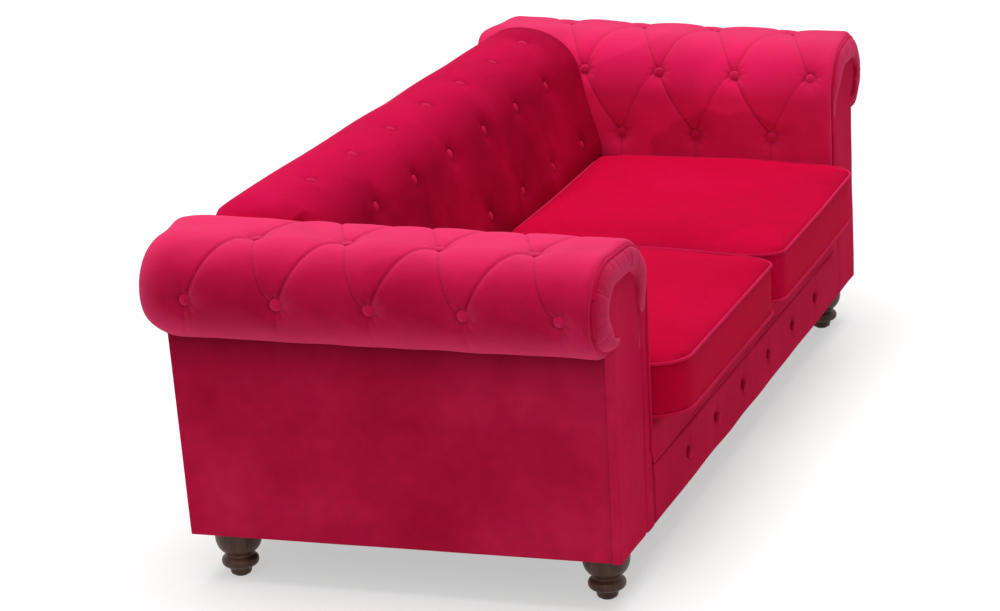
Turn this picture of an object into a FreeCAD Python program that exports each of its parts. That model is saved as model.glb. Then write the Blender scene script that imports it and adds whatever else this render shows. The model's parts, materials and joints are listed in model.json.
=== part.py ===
import FreeCAD
import Part
import math
import os

# Two-cushion chesterfield sofa: X runs along the length, the front faces -Y, Z is up.
# The origin is on the floor under the middle of the sofa. All sizes are in millimetres.

# Overall
arm_depth = 800.0           # front facing to rear face of an arm
seat_width = 1400.0         # between the insides of the arms
arm_width = 200.0           # inside of an arm to its outer panel
foot_height = 98.0          # floor to the underside of the rails
arm_height = 661.0          # floor to the top of an arm
cushion_overhang = 60.0     # cushions stand this far in front of the arm facings
back_overhang = 6.0         # rolled back stands this far behind the rear face

# Arm scroll
roll_radius = 98.0
roll_inset = 7.0            # roll centre inside the outer panel
arm_shoulder = 120.0        # rounding from the inside of the arm to its top
arm_pad_thickness = 36.0
arm_button_pitch = 168.0
first_button_setback = 62.0
arm_low_button_height = 449.0
arm_high_button_turn = 27.0
roll_high_button_turn = 6.0
roll_low_button_turn = 91.0
inside_button_shift = 16.0  # top and inside rows stand this far in front of the outside row

# Back
back_roll_radius = 118.0
back_roll_height = 563.0
back_rake = 15.5
back_pad_thickness = 45.0
back_rear_turn = 105.0      # how far past the top the padded roll runs
back_end_reach = 22.0       # back pad runs this far over the shoulder of an arm
back_top_button_turn = 20.0
back_mid_button_turn = 73.0
back_low_button_height = 440.0
back_button_pitch = 200.0
back_foot_setback = 512.0   # arm facing to the upright lower part of the back pad

# Tufts and buttons
tuft_depth = 14.0
tuft_mouth = 34.0
tuft_floor = 12.5
fold_depth = 7.0
fold_half_width = 9.0
fold_end = 20.0             # folds stop this far from the edge of a pad
cut_slack = 0.01            # edges nearer than this count as one
button_radius = 11.0
button_height = 6.5
button_rim = 2.0

# Frame timber and boards
rail_thickness = 28.0
rail_height = 160.0
scroll_board_thickness = 22.0
form_thickness = 3.0
outer_board_thickness = 5.0
cover_thickness = 2.0
facing_thickness = 12.0
rear_facing_thickness = 5.0
block_size = 80.0
block_height = 60.0
rib_thickness = 22.0
top_rail_depth = 84.0
top_rail_height = 44.0
arm_rail_width = 45.0
arm_rail_height = 40.0
rear_rail_setback = 565.0   # arm facing to the rear spring rail
bottom_rail_height = 60.0
cross_rail_width = 44.0
cross_rail_height = 60.0
cross_rail_spread = 420.0

# Suspension
spring_wire = 4.0
spring_half_width = 25.0
spring_loop_pitch = 26.0
clip_height = 6.0
clip_width = 22.0
clip_depth = 14.0
deck_thickness = 18.0
dust_thickness = 1.0
arm_pad_lift = 4.0          # arm pads start this far above the seat rails

# Front border
border_height = 124.0
border_thickness = 22.0
border_proud = 5.0          # border stands this far in front of the facings
border_button_pitch = 200.0
border_button_count = 6
border_edge_round = 8.0
lip_round = 18.0
welt_radius = 3.0

# Cushions
cushion_band = 98.0         # height between the two pipings
cushion_crown = 22.0
cushion_front_round = 70.0
cushion_rear_round = 30.0
cushion_draw_in = 5.0
cushion_cover_thickness = 6.0
cushion_foot = 4.0
cushion_foot_inset = 6.0
piping_radius = 4.0
soft_gap = 0.5
seat_gap = 0.3

# Arm front
pleat_width = 30.0
pleat_depth = 15.0
pleat_count = 22
pleat_groove = 4.0
arm_piping_radius = 4.0

# Feet
foot_inset_side = 89.0
foot_inset_depth = 55.0
rear_foot_inset_side = 62.0
rear_foot_inset_depth = 64.0
foot_bulb_radius = 42.5
foot_top_radius = 40.0
foot_neck_radius = 25.0
foot_bead_radius = 33.5
foot_ankle_radius = 22.0
foot_toe_radius = 18.0
foot_toe_height = 15.0
foot_bead_height = 18.0
foot_neck_height = 5.0
plate_thickness = 3.0
plate_size = 50.0
glide_height = 3.0
glide_radius = 12.0
bolt_radius = 4.0
bolt_clearance = 0.05
bolt_in_foot = 30.0
bolt_in_block = 40.0
dust_hole_margin = 4.0

# Places that follow from the sizes
front_y = -(arm_depth + cushion_overhang + back_overhang) / 2 + cushion_overhang
rear_y = front_y + arm_depth
inner_x = seat_width / 2
outer_x = inner_x + arm_width
roll_x = outer_x - roll_inset
roll_z = arm_height - roll_radius
rail_z = foot_height
rail_top = rail_z + rail_height
wire_z = rail_top + clip_height
deck_bottom = wire_z + spring_wire
deck_top = deck_bottom + deck_thickness
arm_pad_bottom = rail_top + arm_pad_lift
board_inner_x = inner_x + arm_pad_thickness + form_thickness
frame_outer_x = outer_x - cover_thickness - outer_board_thickness
scroll_front = front_y + facing_thickness
scroll_back = scroll_front + scroll_board_thickness
rear_scroll_back = rear_y - rear_facing_thickness
rear_scroll_front = rear_scroll_back - scroll_board_thickness
border_front = front_y - border_proud
border_back = border_front + border_thickness
front_rail_back = border_back + rail_thickness
rear_rail_front = front_y + rear_rail_setback
rear_rail_back = rear_rail_front + rail_thickness
back_foot_y = front_y + back_foot_setback
back_roll_y = rear_y + back_overhang - back_roll_radius
border_top = rail_z + border_height
lip_bottom = border_top + 2 * welt_radius
cushion_bottom = deck_top + seat_gap
cushion_low_edge = cushion_bottom + cushion_foot
cushion_top_edge = cushion_low_edge + cushion_band
cushion_front = front_y - cushion_overhang + 2 * piping_radius
cushion_rear = back_foot_y - 2 * piping_radius - 2 * soft_gap
cushion_in_x = soft_gap + 2 * piping_radius
cushion_out_x = inner_x - 2 * soft_gap - 2 * piping_radius
side_rail_inner = frame_outer_x - rail_thickness
foot_x = outer_x - foot_inset_side
foot_front_y = front_y + foot_inset_depth
rear_foot_x = outer_x - rear_foot_inset_side
foot_rear_y = rear_y - rear_foot_inset_depth
foot_spots = ((foot_x, foot_front_y), (rear_foot_x, foot_rear_y))

os.makedirs("parts", exist_ok=True)
counts = []


def vec(x, y, z):
    return FreeCAD.Vector(x, y, z)


def box(x0, x1, y0, y1, z0, z1):
    return Part.makeBox(x1 - x0, y1 - y0, z1 - z0, vec(x0, y0, z0))


def mirrored(shape):
    return shape.mirror(vec(0, 0, 0), vec(1, 0, 0))


def save(name, shape):
    shape.exportStep("parts/" + name + ".step")
    counts.append(name)
    print(name, "solids", len(shape.Solids), "valid", shape.isValid(), "volume", round(shape.Volume))


def save_pair(name, shape):
    save("right_" + name, shape)
    save("left_" + name, mirrored(shape))


def together(shapes):
    return Part.makeCompound(shapes)


# A profile is a start point and steps; a step is ("line", end) or ("arc", middle, end)
def profile_wire(start, steps, place):
    edges = []
    here = start
    for step in steps:
        end = step[-1]
        if step[0] == "line":
            edges.append(Part.makeLine(place(here), place(end)))
        else:
            edges.append(Part.Arc(place(here), place(step[1]), place(end)).toShape())
        here = end
    return Part.Wire(edges)


def across_arm(point):
    return vec(point[0], 0, point[1])


def across_back(point):
    return vec(0, point[0], point[1])


def arm_prism(start, steps, y0, y1):
    face = Part.Face(profile_wire(start, steps, across_arm))
    solid = face.extrude(vec(0, y1 - y0, 0))
    solid.translate(vec(0, y0, 0))
    return solid


def back_prism(start, steps, x0, x1):
    face = Part.Face(profile_wire(start, steps, across_back))
    solid = face.extrude(vec(x1 - x0, 0, 0))
    solid.translate(vec(x0, 0, 0))
    return solid


def on_circle(cx, cz, radius, turn):
    # turn is in degrees from straight up towards the outside
    angle = math.radians(turn)
    return (cx + radius * math.sin(angle), cz + radius * math.cos(angle))


# Arm outline: up the inside, over the shoulder, along the top and round the roll
shoulder_x = inner_x + arm_shoulder
shoulder_z = arm_height - arm_shoulder
roll_split = (roll_high_button_turn + roll_low_button_turn) / 2


def arm_steps(inset, bottom):
    shoulder = arm_shoulder - inset
    radius = roll_radius - inset
    start = (inner_x + inset, bottom)
    steps = [
        ("line", (inner_x + inset, shoulder_z)),
        ("arc", on_circle(shoulder_x, shoulder_z, shoulder, -45), (shoulder_x, arm_height - inset)),
        ("line", (roll_x, arm_height - inset)),
        ("arc", on_circle(roll_x, roll_z, radius, roll_split / 2), on_circle(roll_x, roll_z, radius, roll_split)),
        ("arc", on_circle(roll_x, roll_z, radius, roll_split / 2 + 90), on_circle(roll_x, roll_z, radius, 180)),
    ]
    return start, steps


def reverse_steps(start, steps):
    points = [start] + [step[-1] for step in steps]
    back = []
    for index in range(len(steps) - 1, -1, -1):
        if steps[index][0] == "line":
            back.append(("line", points[index]))
        else:
            back.append(("arc", steps[index][1], points[index]))
    return back


def arm_layer(outer_inset, inner_inset, y0, y1):
    start, steps = arm_steps(outer_inset, arm_pad_bottom)
    inside, inside_steps = arm_steps(inner_inset, arm_pad_bottom)
    loop = steps + [("line", inside_steps[-1][-1])] + reverse_steps(inside, inside_steps) + [("line", start)]
    return arm_prism(start, loop, y0, y1)


def arm_plate(inset, bottom, y0, y1):
    start, steps = arm_steps(inset, bottom)
    end = steps[-1][-1]
    loop = steps + [("line", (end[0], bottom)), ("line", start)]
    return arm_prism(start, loop, y0, y1)


# Distance along the arm outline gives a place and the way out of the surface
inside_length = shoulder_z - arm_pad_bottom
shoulder_length = arm_shoulder * math.pi / 2
flat_length = roll_x - shoulder_x


def arm_at(run):
    if run < inside_length:
        return (inner_x, arm_pad_bottom + run), (-1.0, 0.0)
    run = run - inside_length
    if run < shoulder_length:
        angle = run / arm_shoulder
        out = (-math.cos(angle), math.sin(angle))
        return (shoulder_x + arm_shoulder * out[0], shoulder_z + arm_shoulder * out[1]), out
    run = run - shoulder_length
    if run < flat_length:
        return (shoulder_x + run, arm_height), (0.0, 1.0)
    angle = (run - flat_length) / roll_radius
    out = (math.sin(angle), math.cos(angle))
    return (roll_x + roll_radius * out[0], roll_z + roll_radius * out[1]), out


arm_run_low = arm_low_button_height - arm_pad_bottom
arm_run_high = inside_length + math.radians(arm_high_button_turn) * arm_shoulder
roll_start = inside_length + shoulder_length + flat_length
arm_run_roll = roll_start + math.radians(roll_high_button_turn) * roll_radius
arm_run_side = roll_start + math.radians(roll_low_button_turn) * roll_radius
arm_run_end = roll_start + math.pi * roll_radius

# Back outline: up the hidden foot, up the raked face and over the roll
rake = math.radians(back_rake)
rake_out = (-math.cos(rake), math.sin(rake))


def back_points(inset):
    # where the foot meets the rake, and where the rake meets the roll
    radius = back_roll_radius - inset
    tangent = (back_roll_y + radius * rake_out[0], back_roll_height + radius * rake_out[1])
    foot_y = back_foot_y + inset
    knee = (foot_y, tangent[1] - (tangent[0] - foot_y) / math.tan(rake))
    return radius, knee, tangent


def back_turn_to(turn, radius):
    return on_circle(back_roll_y, back_roll_height, radius, turn)


def back_steps(inset, bottom):
    radius, knee, tangent = back_points(inset)
    first = back_rake - 90
    start = (knee[0], bottom)
    steps = [
        ("line", knee),
        ("line", tangent),
        ("arc", back_turn_to(first / 2, radius), back_turn_to(0, radius)),
        ("arc", back_turn_to(back_rear_turn / 2, radius), back_turn_to(back_rear_turn, radius)),
    ]
    return start, steps


def back_layer(outer_inset, inner_inset, half_length):
    start, steps = back_steps(outer_inset, deck_bottom)
    inside, inside_steps = back_steps(inner_inset, deck_bottom)
    loop = steps + [("line", inside_steps[-1][-1])] + reverse_steps(inside, inside_steps) + [("line", start)]
    return back_prism(start, loop, -half_length, half_length)


back_radius, back_knee, back_tangent = back_points(0)
foot_length = back_knee[1] - deck_bottom
rake_length = math.hypot(back_tangent[0] - back_knee[0], back_tangent[1] - back_knee[1])


def back_at(run):
    if run < foot_length:
        return (back_foot_y, deck_bottom + run), (-1.0, 0.0)
    run = run - foot_length
    if run < rake_length:
        place = (back_knee[0] + run * math.sin(rake), back_knee[1] + run * math.cos(rake))
        return place, rake_out
    angle = (run - rake_length) / back_roll_radius - (math.pi / 2 - rake)
    out = (math.sin(angle), math.cos(angle))
    place = (back_roll_y + back_roll_radius * out[0], back_roll_height + back_roll_radius * out[1])
    return place, out


back_run_low = foot_length + (back_low_button_height - back_knee[1]) / math.cos(rake)
back_roll_run = foot_length + rake_length + (math.pi / 2 - rake) * back_roll_radius
back_run_mid = back_roll_run - math.radians(back_mid_button_turn) * back_roll_radius
back_run_top = back_roll_run - math.radians(back_top_button_turn) * back_roll_radius
back_run_end = back_roll_run + math.radians(back_rear_turn) * back_roll_radius


def arm_spot(run, along):
    place, out = arm_at(run)
    return vec(place[0], along, place[1]), vec(out[0], 0, out[1])


def back_spot(run, along):
    place, out = back_at(run)
    return vec(along, place[0], place[1]), vec(0, out[0], out[1])


def dimple(place, out):
    # a flat-floored cone pressed into the pad, drawn on past its mouth
    slope = (tuft_mouth - tuft_floor) / tuft_depth
    above = tuft_depth * 2
    return Part.makeCone(tuft_floor, tuft_floor + slope * above, above, place - out * tuft_depth, out)


def button(place, out):
    rim = vec(button_radius, 0, button_rim)
    crown = vec(0, 0, button_height)
    rise = button_height - button_rim
    dome = (button_radius ** 2 + rise ** 2) / (2 * rise)
    half = math.asin(button_radius / dome) / 2
    middle = vec(dome * math.sin(half), 0, button_height - dome + dome * math.cos(half))
    edges = [
        Part.makeLine(vec(0, 0, 0), vec(button_radius, 0, 0)),
        Part.makeLine(vec(button_radius, 0, 0), rim),
        Part.Arc(rim, middle, crown).toShape(),
        Part.makeLine(crown, vec(0, 0, 0)),
    ]
    solid = Part.Face(Part.Wire(edges)).revolve(vec(0, 0, 0), vec(0, 0, 1), 360)
    turn = FreeCAD.Rotation(vec(0, 0, 1), out)
    solid.Placement = FreeCAD.Placement(place - out * tuft_depth, turn)
    return solid


def fold(spot, run0, along0, run1, along1, pieces):
    # a V groove laid along the surface between two tufts
    wires = []
    for index in range(pieces + 1):
        share = index / pieces
        place, out = spot(run0 + (run1 - run0) * share, along0 + (along1 - along0) * share)
        before = spot(run0 + (run1 - run0) * (share - 0.01), along0 + (along1 - along0) * (share - 0.01))[0]
        after = spot(run0 + (run1 - run0) * (share + 0.01), along0 + (along1 - along0) * (share + 0.01))[0]
        side = out.cross(after - before)
        side.normalize()
        top = place + out * fold_depth
        half = side * (2 * fold_half_width)
        corners = [place - out * fold_depth, top + half, top - half, place - out * fold_depth]
        wires.append(Part.makePolygon(corners))
    return Part.makeLoft(wires, True, True)


def tufted(solid, spots, folds):
    dimpled = solid.cut([dimple(*spot) for spot in spots], cut_slack)
    return dimpled.cut(folds, cut_slack)


def evenly(count, pitch):
    return [(index - (count - 1) / 2) * pitch for index in range(count)]


# Seat rails, corner blocks and the rails under the springs
save("front_seat_rail", box(-board_inner_x, board_inner_x, border_back, front_rail_back, rail_z, rail_top))
save("rear_seat_rail", box(-side_rail_inner, side_rail_inner, rear_rail_front, rear_rail_back, rail_z, rail_top))
rear_bottom_front = rear_y - cover_thickness - outer_board_thickness - rail_thickness
rear_bottom_back = rear_bottom_front + rail_thickness
bottom_rail_top = rail_z + bottom_rail_height
save("rear_bottom_rail", box(-board_inner_x, board_inner_x, rear_bottom_front, rear_bottom_back,
                             rail_z, bottom_rail_top))
save_pair("side_rail", box(side_rail_inner, frame_outer_x, scroll_back, rear_scroll_front, rail_z, rail_top))
cross_rails = []
for centre in evenly(2, cross_rail_spread):
    cross_rails.append(box(centre - cross_rail_width / 2, centre + cross_rail_width / 2,
                           front_rail_back, rear_rail_front, rail_z, rail_z + cross_rail_height))
save("seat_cross_rails", together(cross_rails))
bolt_hole = bolt_radius + bolt_clearance
blocks = []
block_fronts = (scroll_back, rear_scroll_front - block_size)
for (spot_x, spot_y), block_front in zip(foot_spots, block_fronts):
    for side in (-1, 1):
        near = side * (side_rail_inner - block_size)
        far = side * side_rail_inner
        block = box(min(near, far), max(near, far), block_front, block_front + block_size,
                    rail_z, rail_z + block_height)
        hole = Part.makeCylinder(bolt_hole, bolt_in_block, vec(side * spot_x, spot_y, rail_z))
        blocks.append(block.cut(hole))
save("corner_blocks", together(blocks))

# Arm frames: plywood scroll boards, a rail through the scrolls and a bent hardboard form
board_inset = arm_pad_thickness + form_thickness
front_board = arm_plate(board_inset, rail_z, scroll_front, scroll_back)
rear_board = arm_plate(board_inset, rail_z, rear_scroll_front, rear_scroll_back)
save_pair("arm_scroll_boards", together([front_board, rear_board]))
arm_rail_left = roll_x - arm_rail_width
arm_rail_reach = max(0.0, shoulder_x - arm_rail_left)
arm_rail_top = shoulder_z + math.sqrt((arm_shoulder - board_inset) ** 2 - arm_rail_reach ** 2) - soft_gap
save_pair("arm_top_rail", box(arm_rail_left, roll_x, scroll_back, rear_scroll_front,
                              arm_rail_top - arm_rail_height, arm_rail_top))
save_pair("arm_form", arm_layer(arm_pad_thickness, board_inset, scroll_front, rear_scroll_back))
panel_top = roll_z - math.sqrt(roll_radius ** 2 - roll_inset ** 2) - soft_gap
save_pair("arm_outer_board", box(frame_outer_x, frame_outer_x + outer_board_thickness,
                                 scroll_front, rear_scroll_back, rail_z, panel_top))
save_pair("arm_outer_cover", box(outer_x - cover_thickness, outer_x, front_y, rear_y, rail_z, panel_top))

# Tufted arm pads and their buttons
arm_front_row = front_y + first_button_setback
wide_rows = [arm_front_row + index * arm_button_pitch for index in range(5)]
inside_wide = [row - inside_button_shift for row in wide_rows[:4]]
between_rows = [row + arm_button_pitch / 2 for row in inside_wide]
inside_between = between_rows[:3]
arm_spots = [arm_spot(arm_run_low, row) for row in inside_between]
arm_spots += [arm_spot(arm_run_high, row) for row in inside_wide]
arm_spots += [arm_spot(arm_run_roll, row) for row in between_rows]
arm_spots += [arm_spot(arm_run_side, row) for row in wide_rows]
half_pitch = arm_button_pitch / 2
arm_folds = []
for row in inside_between:
    arm_folds.append(fold(arm_spot, arm_run_low, row, arm_run_high, row - half_pitch, 2))
    arm_folds.append(fold(arm_spot, arm_run_low, row, arm_run_high, row + half_pitch, 2))
    arm_folds.append(fold(arm_spot, arm_run_low, row, fold_end, row, 1))
for row in between_rows:
    arm_folds.append(fold(arm_spot, arm_run_roll, row, arm_run_high, row - half_pitch, 6))
    arm_folds.append(fold(arm_spot, arm_run_roll, row, arm_run_side, row + inside_button_shift - half_pitch, 4))
    arm_folds.append(fold(arm_spot, arm_run_roll, row, arm_run_side, row + inside_button_shift + half_pitch, 4))
for row in inside_between:
    arm_folds.append(fold(arm_spot, arm_run_roll, row, arm_run_high, row + half_pitch, 6))
for row in wide_rows:
    arm_folds.append(fold(arm_spot, arm_run_side, row, arm_run_end - fold_end, row, 4))
pad_front = front_y + pleat_depth
arm_pad_plain = arm_layer(0, arm_pad_thickness, pad_front, rear_scroll_back)
save_pair("arm_pad", tufted(arm_pad_plain, arm_spots, arm_folds))
save_pair("arm_buttons", together([button(*spot) for spot in arm_spots]))

# Arm fronts: flat facing, gathered pleats round the scroll and a piping between pleats and pad
facing_outline = arm_plate(pleat_width, rail_z, front_y, scroll_front)
facing_side = box(frame_outer_x, outer_x - cover_thickness, front_y, scroll_front, rail_z, panel_top)
inner_strip = box(inner_x, inner_x + pleat_width, front_y, scroll_front, rail_z, arm_pad_bottom)
save_pair("arm_facing", facing_outline.fuse([facing_side, inner_strip]).removeSplitter())
pleat_ring = arm_layer(0, pleat_width - soft_gap, front_y, pad_front - 2 * arm_piping_radius)
grooves = []
for index in range(pleat_count):
    run = arm_run_high + (arm_run_end - arm_run_high) * (index + 0.5) / pleat_count
    place, out = arm_at(run)
    along = vec(out[1], 0, -out[0]) * pleat_groove
    tip = vec(place[0], front_y + pleat_groove, place[1])
    mouth = vec(place[0], front_y - pleat_groove, place[1])
    triangle = Part.makePolygon([tip, mouth + along, mouth - along, tip])
    inward = vec(out[0], 0, out[1]) * (-2 * pleat_width)
    triangle.translate(inward * -0.25)
    grooves.append(Part.Face(triangle).extrude(inward))
save_pair("facing_pleats", pleat_ring.cut(grooves))
piping_start, piping_steps = arm_steps(arm_piping_radius, arm_pad_bottom)
piping_path = profile_wire(piping_start, piping_steps, across_arm)
piping_path.translate(vec(0, pad_front - arm_piping_radius, 0))
piping_ring = Part.Circle(piping_path.Vertexes[0].Point, vec(0, 0, 1), arm_piping_radius).toShape()
save_pair("arm_piping", piping_path.makePipeShell([Part.Wire(piping_ring)], True, False))
rear_outline = arm_plate(0, rail_z, rear_scroll_back, rear_y)
rear_strip = box(roll_x, outer_x - cover_thickness, rear_scroll_back, rear_y, rail_z, panel_top)
save_pair("arm_rear_facing", rear_outline.fuse(rear_strip).removeSplitter())

# Back: ribs on the rear rail, rails through the ribs, a hardboard form, a tufted pad and the outside
arm_space = together([arm_plate(-seat_gap, rail_z, front_y - 1, rear_y + back_overhang + 1)])
arm_spaces = [arm_space, mirrored(arm_space)]
rib_inset = back_pad_thickness + form_thickness
rib_start, rib_outline = back_steps(rib_inset, rail_top)
rib_rear = rear_bottom_back
rib_loop = rib_outline + [("line", (rib_rear, rib_outline[-1][-1][1] - rib_inset)),
                          ("line", (rib_rear, rail_top)), ("line", rib_start)]
top_rail = box(-inner_x, inner_x, back_roll_y - top_rail_depth / 2, back_roll_y + top_rail_depth / 2,
               back_roll_height - top_rail_height / 2, back_roll_height + top_rail_height / 2)
rib_places = [-0.92 * inner_x, -0.3 * inner_x, 0.3 * inner_x, 0.92 * inner_x]
rib = back_prism(rib_start, rib_loop, -rib_thickness / 2, rib_thickness / 2)
lower_rail_z = rail_top + rail_thickness
lower_rail = box(-inner_x, inner_x, rib_rear - rail_thickness, rib_rear, lower_rail_z,
                 lower_rail_z + bottom_rail_height)
ribs = []
for place in rib_places:
    moved = rib.copy()
    moved.translate(vec(place, 0, 0))
    ribs.append(moved.cut([top_rail, lower_rail]))
save("back_ribs", together(ribs))
save("back_top_rail", top_rail)
save("back_lower_rail", lower_rail)
form_half = inner_x - soft_gap
save("back_form", back_layer(back_pad_thickness, rib_inset, form_half))
back_cover_top = back_turn_to(back_rear_turn, back_roll_radius)[1] - 2 * soft_gap
back_board_front = rear_y - cover_thickness - outer_board_thickness
save("back_outer_board", box(-form_half, form_half, back_board_front, rear_y - cover_thickness,
                             rail_z, back_cover_top))
save("outside_back_cover", box(-form_half, form_half, rear_y - cover_thickness, rear_y, rail_z, back_cover_top))
back_rows_wide = evenly(7, back_button_pitch)
back_rows_between = evenly(6, back_button_pitch)
back_spots = [back_spot(back_run_low, row) for row in back_rows_wide]
back_spots += [back_spot(back_run_mid, row) for row in back_rows_between]
back_spots += [back_spot(back_run_top, row) for row in back_rows_wide]
half_back = back_button_pitch / 2
back_folds = []
for row in back_rows_between:
    for side in (-half_back, half_back):
        back_folds.append(fold(back_spot, back_run_mid, row, back_run_low, row + side, 2))
        back_folds.append(fold(back_spot, back_run_mid, row, back_run_top, row + side, 4))
for row in back_rows_wide:
    back_folds.append(fold(back_spot, back_run_low, row, foot_length, row, 2))
    back_folds.append(fold(back_spot, back_run_top, row, back_run_end - fold_end, row, 5))
back_half = inner_x + back_end_reach
back_plain = back_layer(0, back_pad_thickness, back_half).cut(arm_spaces)
save("back_pad", tufted(back_plain, back_spots, back_folds))
save("back_buttons", together([button(*spot) for spot in back_spots]))

# Springs, clips, deck, dust cover
spring_places = [side * share * inner_x for side in (-1, 1) for share in (0.12, 0.48, 0.66, 0.82)]
wire_radius = spring_wire / 2
spring_front = front_rail_back - clip_depth
spring_rear = rear_rail_front + clip_depth
spring_length = spring_rear - spring_front
loop_count = max(2, int(spring_length / spring_loop_pitch))
loop_pitch = spring_length / loop_count


def spring(centre):
    # zigzag of straight runs, each turn rounded by a short arc
    points = [vec(centre, spring_front, wire_z + wire_radius)]
    for index in range(loop_count):
        side = spring_half_width if index % 2 else -spring_half_width
        points.append(vec(centre + side, spring_front + (index + 0.5) * loop_pitch, wire_z + wire_radius))
    points.append(vec(centre, spring_rear, wire_z + wire_radius))
    edges = []
    here = points[0]
    turn = loop_pitch * 0.3
    for before, corner, after in zip(points, points[1:], points[2:]):
        back_way = before - corner
        back_way.normalize()
        on_way = after - corner
        on_way.normalize()
        enter = corner + back_way * turn
        leave = corner + on_way * turn
        reach = turn * math.sqrt((1 - back_way.dot(on_way)) / 2)
        half_angle = math.asin(reach / turn)
        radius = turn * math.tan(half_angle)
        inward = back_way + on_way
        inward.normalize()
        middle = corner + inward * (radius / math.sin(half_angle) - radius)
        edges.append(Part.makeLine(here, enter))
        edges.append(Part.Arc(enter, middle, leave).toShape())
        here = leave
    edges.append(Part.makeLine(here, points[-1]))
    path = Part.Wire(edges)
    ring = Part.Circle(points[0], points[1] - points[0], wire_radius).toShape()
    return path.makePipeShell([Part.Wire(ring)], True, False)


save("seat_springs", together([spring(place) for place in spring_places]))
clips = []
for place in spring_places:
    left = place - clip_width / 2
    right = place + clip_width / 2
    clips.append(box(left, right, front_rail_back - clip_depth, front_rail_back, rail_top, wire_z))
    clips.append(box(left, right, rear_rail_front, rear_rail_front + clip_depth, rail_top, wire_z))
save("spring_clips", together(clips))
deck_half = inner_x - soft_gap
save("seat_deck", box(-deck_half, deck_half, front_rail_back, back_foot_y - soft_gap, deck_bottom, deck_top))
dust = box(-side_rail_inner, side_rail_inner, front_rail_back, rear_bottom_front, rail_z - dust_thickness, rail_z)
dust_holes = []
for spot_x, spot_y in foot_spots:
    for side in (-1, 1):
        dust_holes.append(Part.makeCylinder(foot_bulb_radius + dust_hole_margin, 4 * dust_thickness,
                                            vec(side * spot_x, spot_y, rail_z - 2 * dust_thickness)))
save("dust_cover", dust.cut(dust_holes))

# Front border with its buttons, the welt above it and the padded lip under the cushions
border_half = inner_x - soft_gap


def border_spot(along):
    return vec(along, border_front, rail_z + border_height / 2), vec(0, -1, 0)


border_spots = [border_spot(place) for place in evenly(border_button_count, border_button_pitch)]
border_plain = box(-border_half, border_half, border_front, border_back, rail_z, border_top)
front_edges = [edge for edge in border_plain.Edges
               if abs(edge.CenterOfMass.y - border_front) < 0.01 and abs(edge.CenterOfMass.x) < 0.01]
border_round = border_plain.makeFillet(border_edge_round, front_edges)
save("front_border_pad", border_round.cut([dimple(*spot) for spot in border_spots]))
save("front_border_buttons", together([button(*spot) for spot in border_spots]))
welt_start = vec(-border_half, border_back - border_thickness / 2, border_top + welt_radius)
save("front_border_welt", Part.makeCylinder(welt_radius, 2 * border_half, welt_start, vec(1, 0, 0)))
lip_front = front_y - border_proud / 2
lip_turn = lip_round * (1 - math.sqrt(0.5))
lip_loop = [
    ("line", (lip_front, deck_top - lip_round)),
    ("arc", (lip_front + lip_turn, deck_top - lip_turn), (lip_front + lip_round, deck_top)),
    ("line", (front_rail_back, deck_top)),
    ("line", (front_rail_back, deck_bottom)),
    ("line", (border_back, deck_bottom)),
    ("line", (border_back, lip_bottom)),
    ("line", (lip_front, lip_bottom)),
]
save("seat_lip", back_prism((lip_front, lip_bottom), lip_loop, -border_half, border_half))


# Loose seat cushions: crowned top, side bands drawn in between two pipings
def cushion_wire(inset, height):
    x0 = cushion_in_x + inset
    x1 = cushion_out_x - inset
    y0 = cushion_front + inset
    y1 = cushion_rear - inset
    front = max(cushion_front_round - inset, cushion_front_round / 6)
    rear = max(cushion_rear_round - inset, cushion_rear_round / 6)
    corners = [(x1, y0, front, -1, 1), (x1, y1, rear, -1, -1), (x0, y1, rear, 1, -1), (x0, y0, front, 1, 1)]
    short = 1 - math.sqrt(0.5)
    edges = []
    first = None
    here = None
    for index, (x, y, radius, sx, sy) in enumerate(corners):
        ends = [vec(x + sx * radius, y, height), vec(x, y + sy * radius, height)]
        if index % 2:
            ends.reverse()
        middle = vec(x + sx * radius * short, y + sy * radius * short, height)
        if here is None:
            first = ends[0]
        else:
            edges.append(Part.makeLine(here, ends[0]))
        edges.append(Part.Arc(ends[0], middle, ends[1]).toShape())
        here = ends[1]
    edges.append(Part.makeLine(here, first))
    return Part.Wire(edges)


def cushion_solid(shrink):
    span = min(cushion_out_x - cushion_in_x, cushion_rear - cushion_front)
    middle = (cushion_low_edge + cushion_top_edge) / 2
    levels = [
        (cushion_foot_inset, cushion_bottom + shrink),
        (0, cushion_low_edge + shrink),
        (cushion_draw_in * 0.75, middle - cushion_band / 5),
        (cushion_draw_in, middle),
        (cushion_draw_in * 0.75, middle + cushion_band / 5),
        (0, cushion_top_edge - shrink),
        (span * 0.035, cushion_top_edge + cushion_crown * 0.36 - shrink),
        (span * 0.1, cushion_top_edge + cushion_crown * 0.7 - shrink),
        (span * 0.2, cushion_top_edge + cushion_crown * 0.92 - shrink),
        (span * 0.32, cushion_top_edge + cushion_crown - shrink),
    ]
    wires = [cushion_wire(inset + shrink, height) for inset, height in levels]
    return Part.makeLoft(wires, True, True)


def cushion_piping(height):
    path = cushion_wire(-piping_radius, height)
    start = path.Vertexes[0].Point
    edge = path.Edges[0]
    ring = Part.Circle(start, edge.tangentAt(edge.FirstParameter), piping_radius).toShape()
    return path.makePipeShell([Part.Wire(ring)], True, False)


core = cushion_solid(cushion_cover_thickness)
save_pair("cushion_core", core)
save_pair("cushion_cover", cushion_solid(0).cut(core))
save_pair("cushion_piping", together([cushion_piping(cushion_low_edge), cushion_piping(cushion_top_edge)]))

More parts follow.
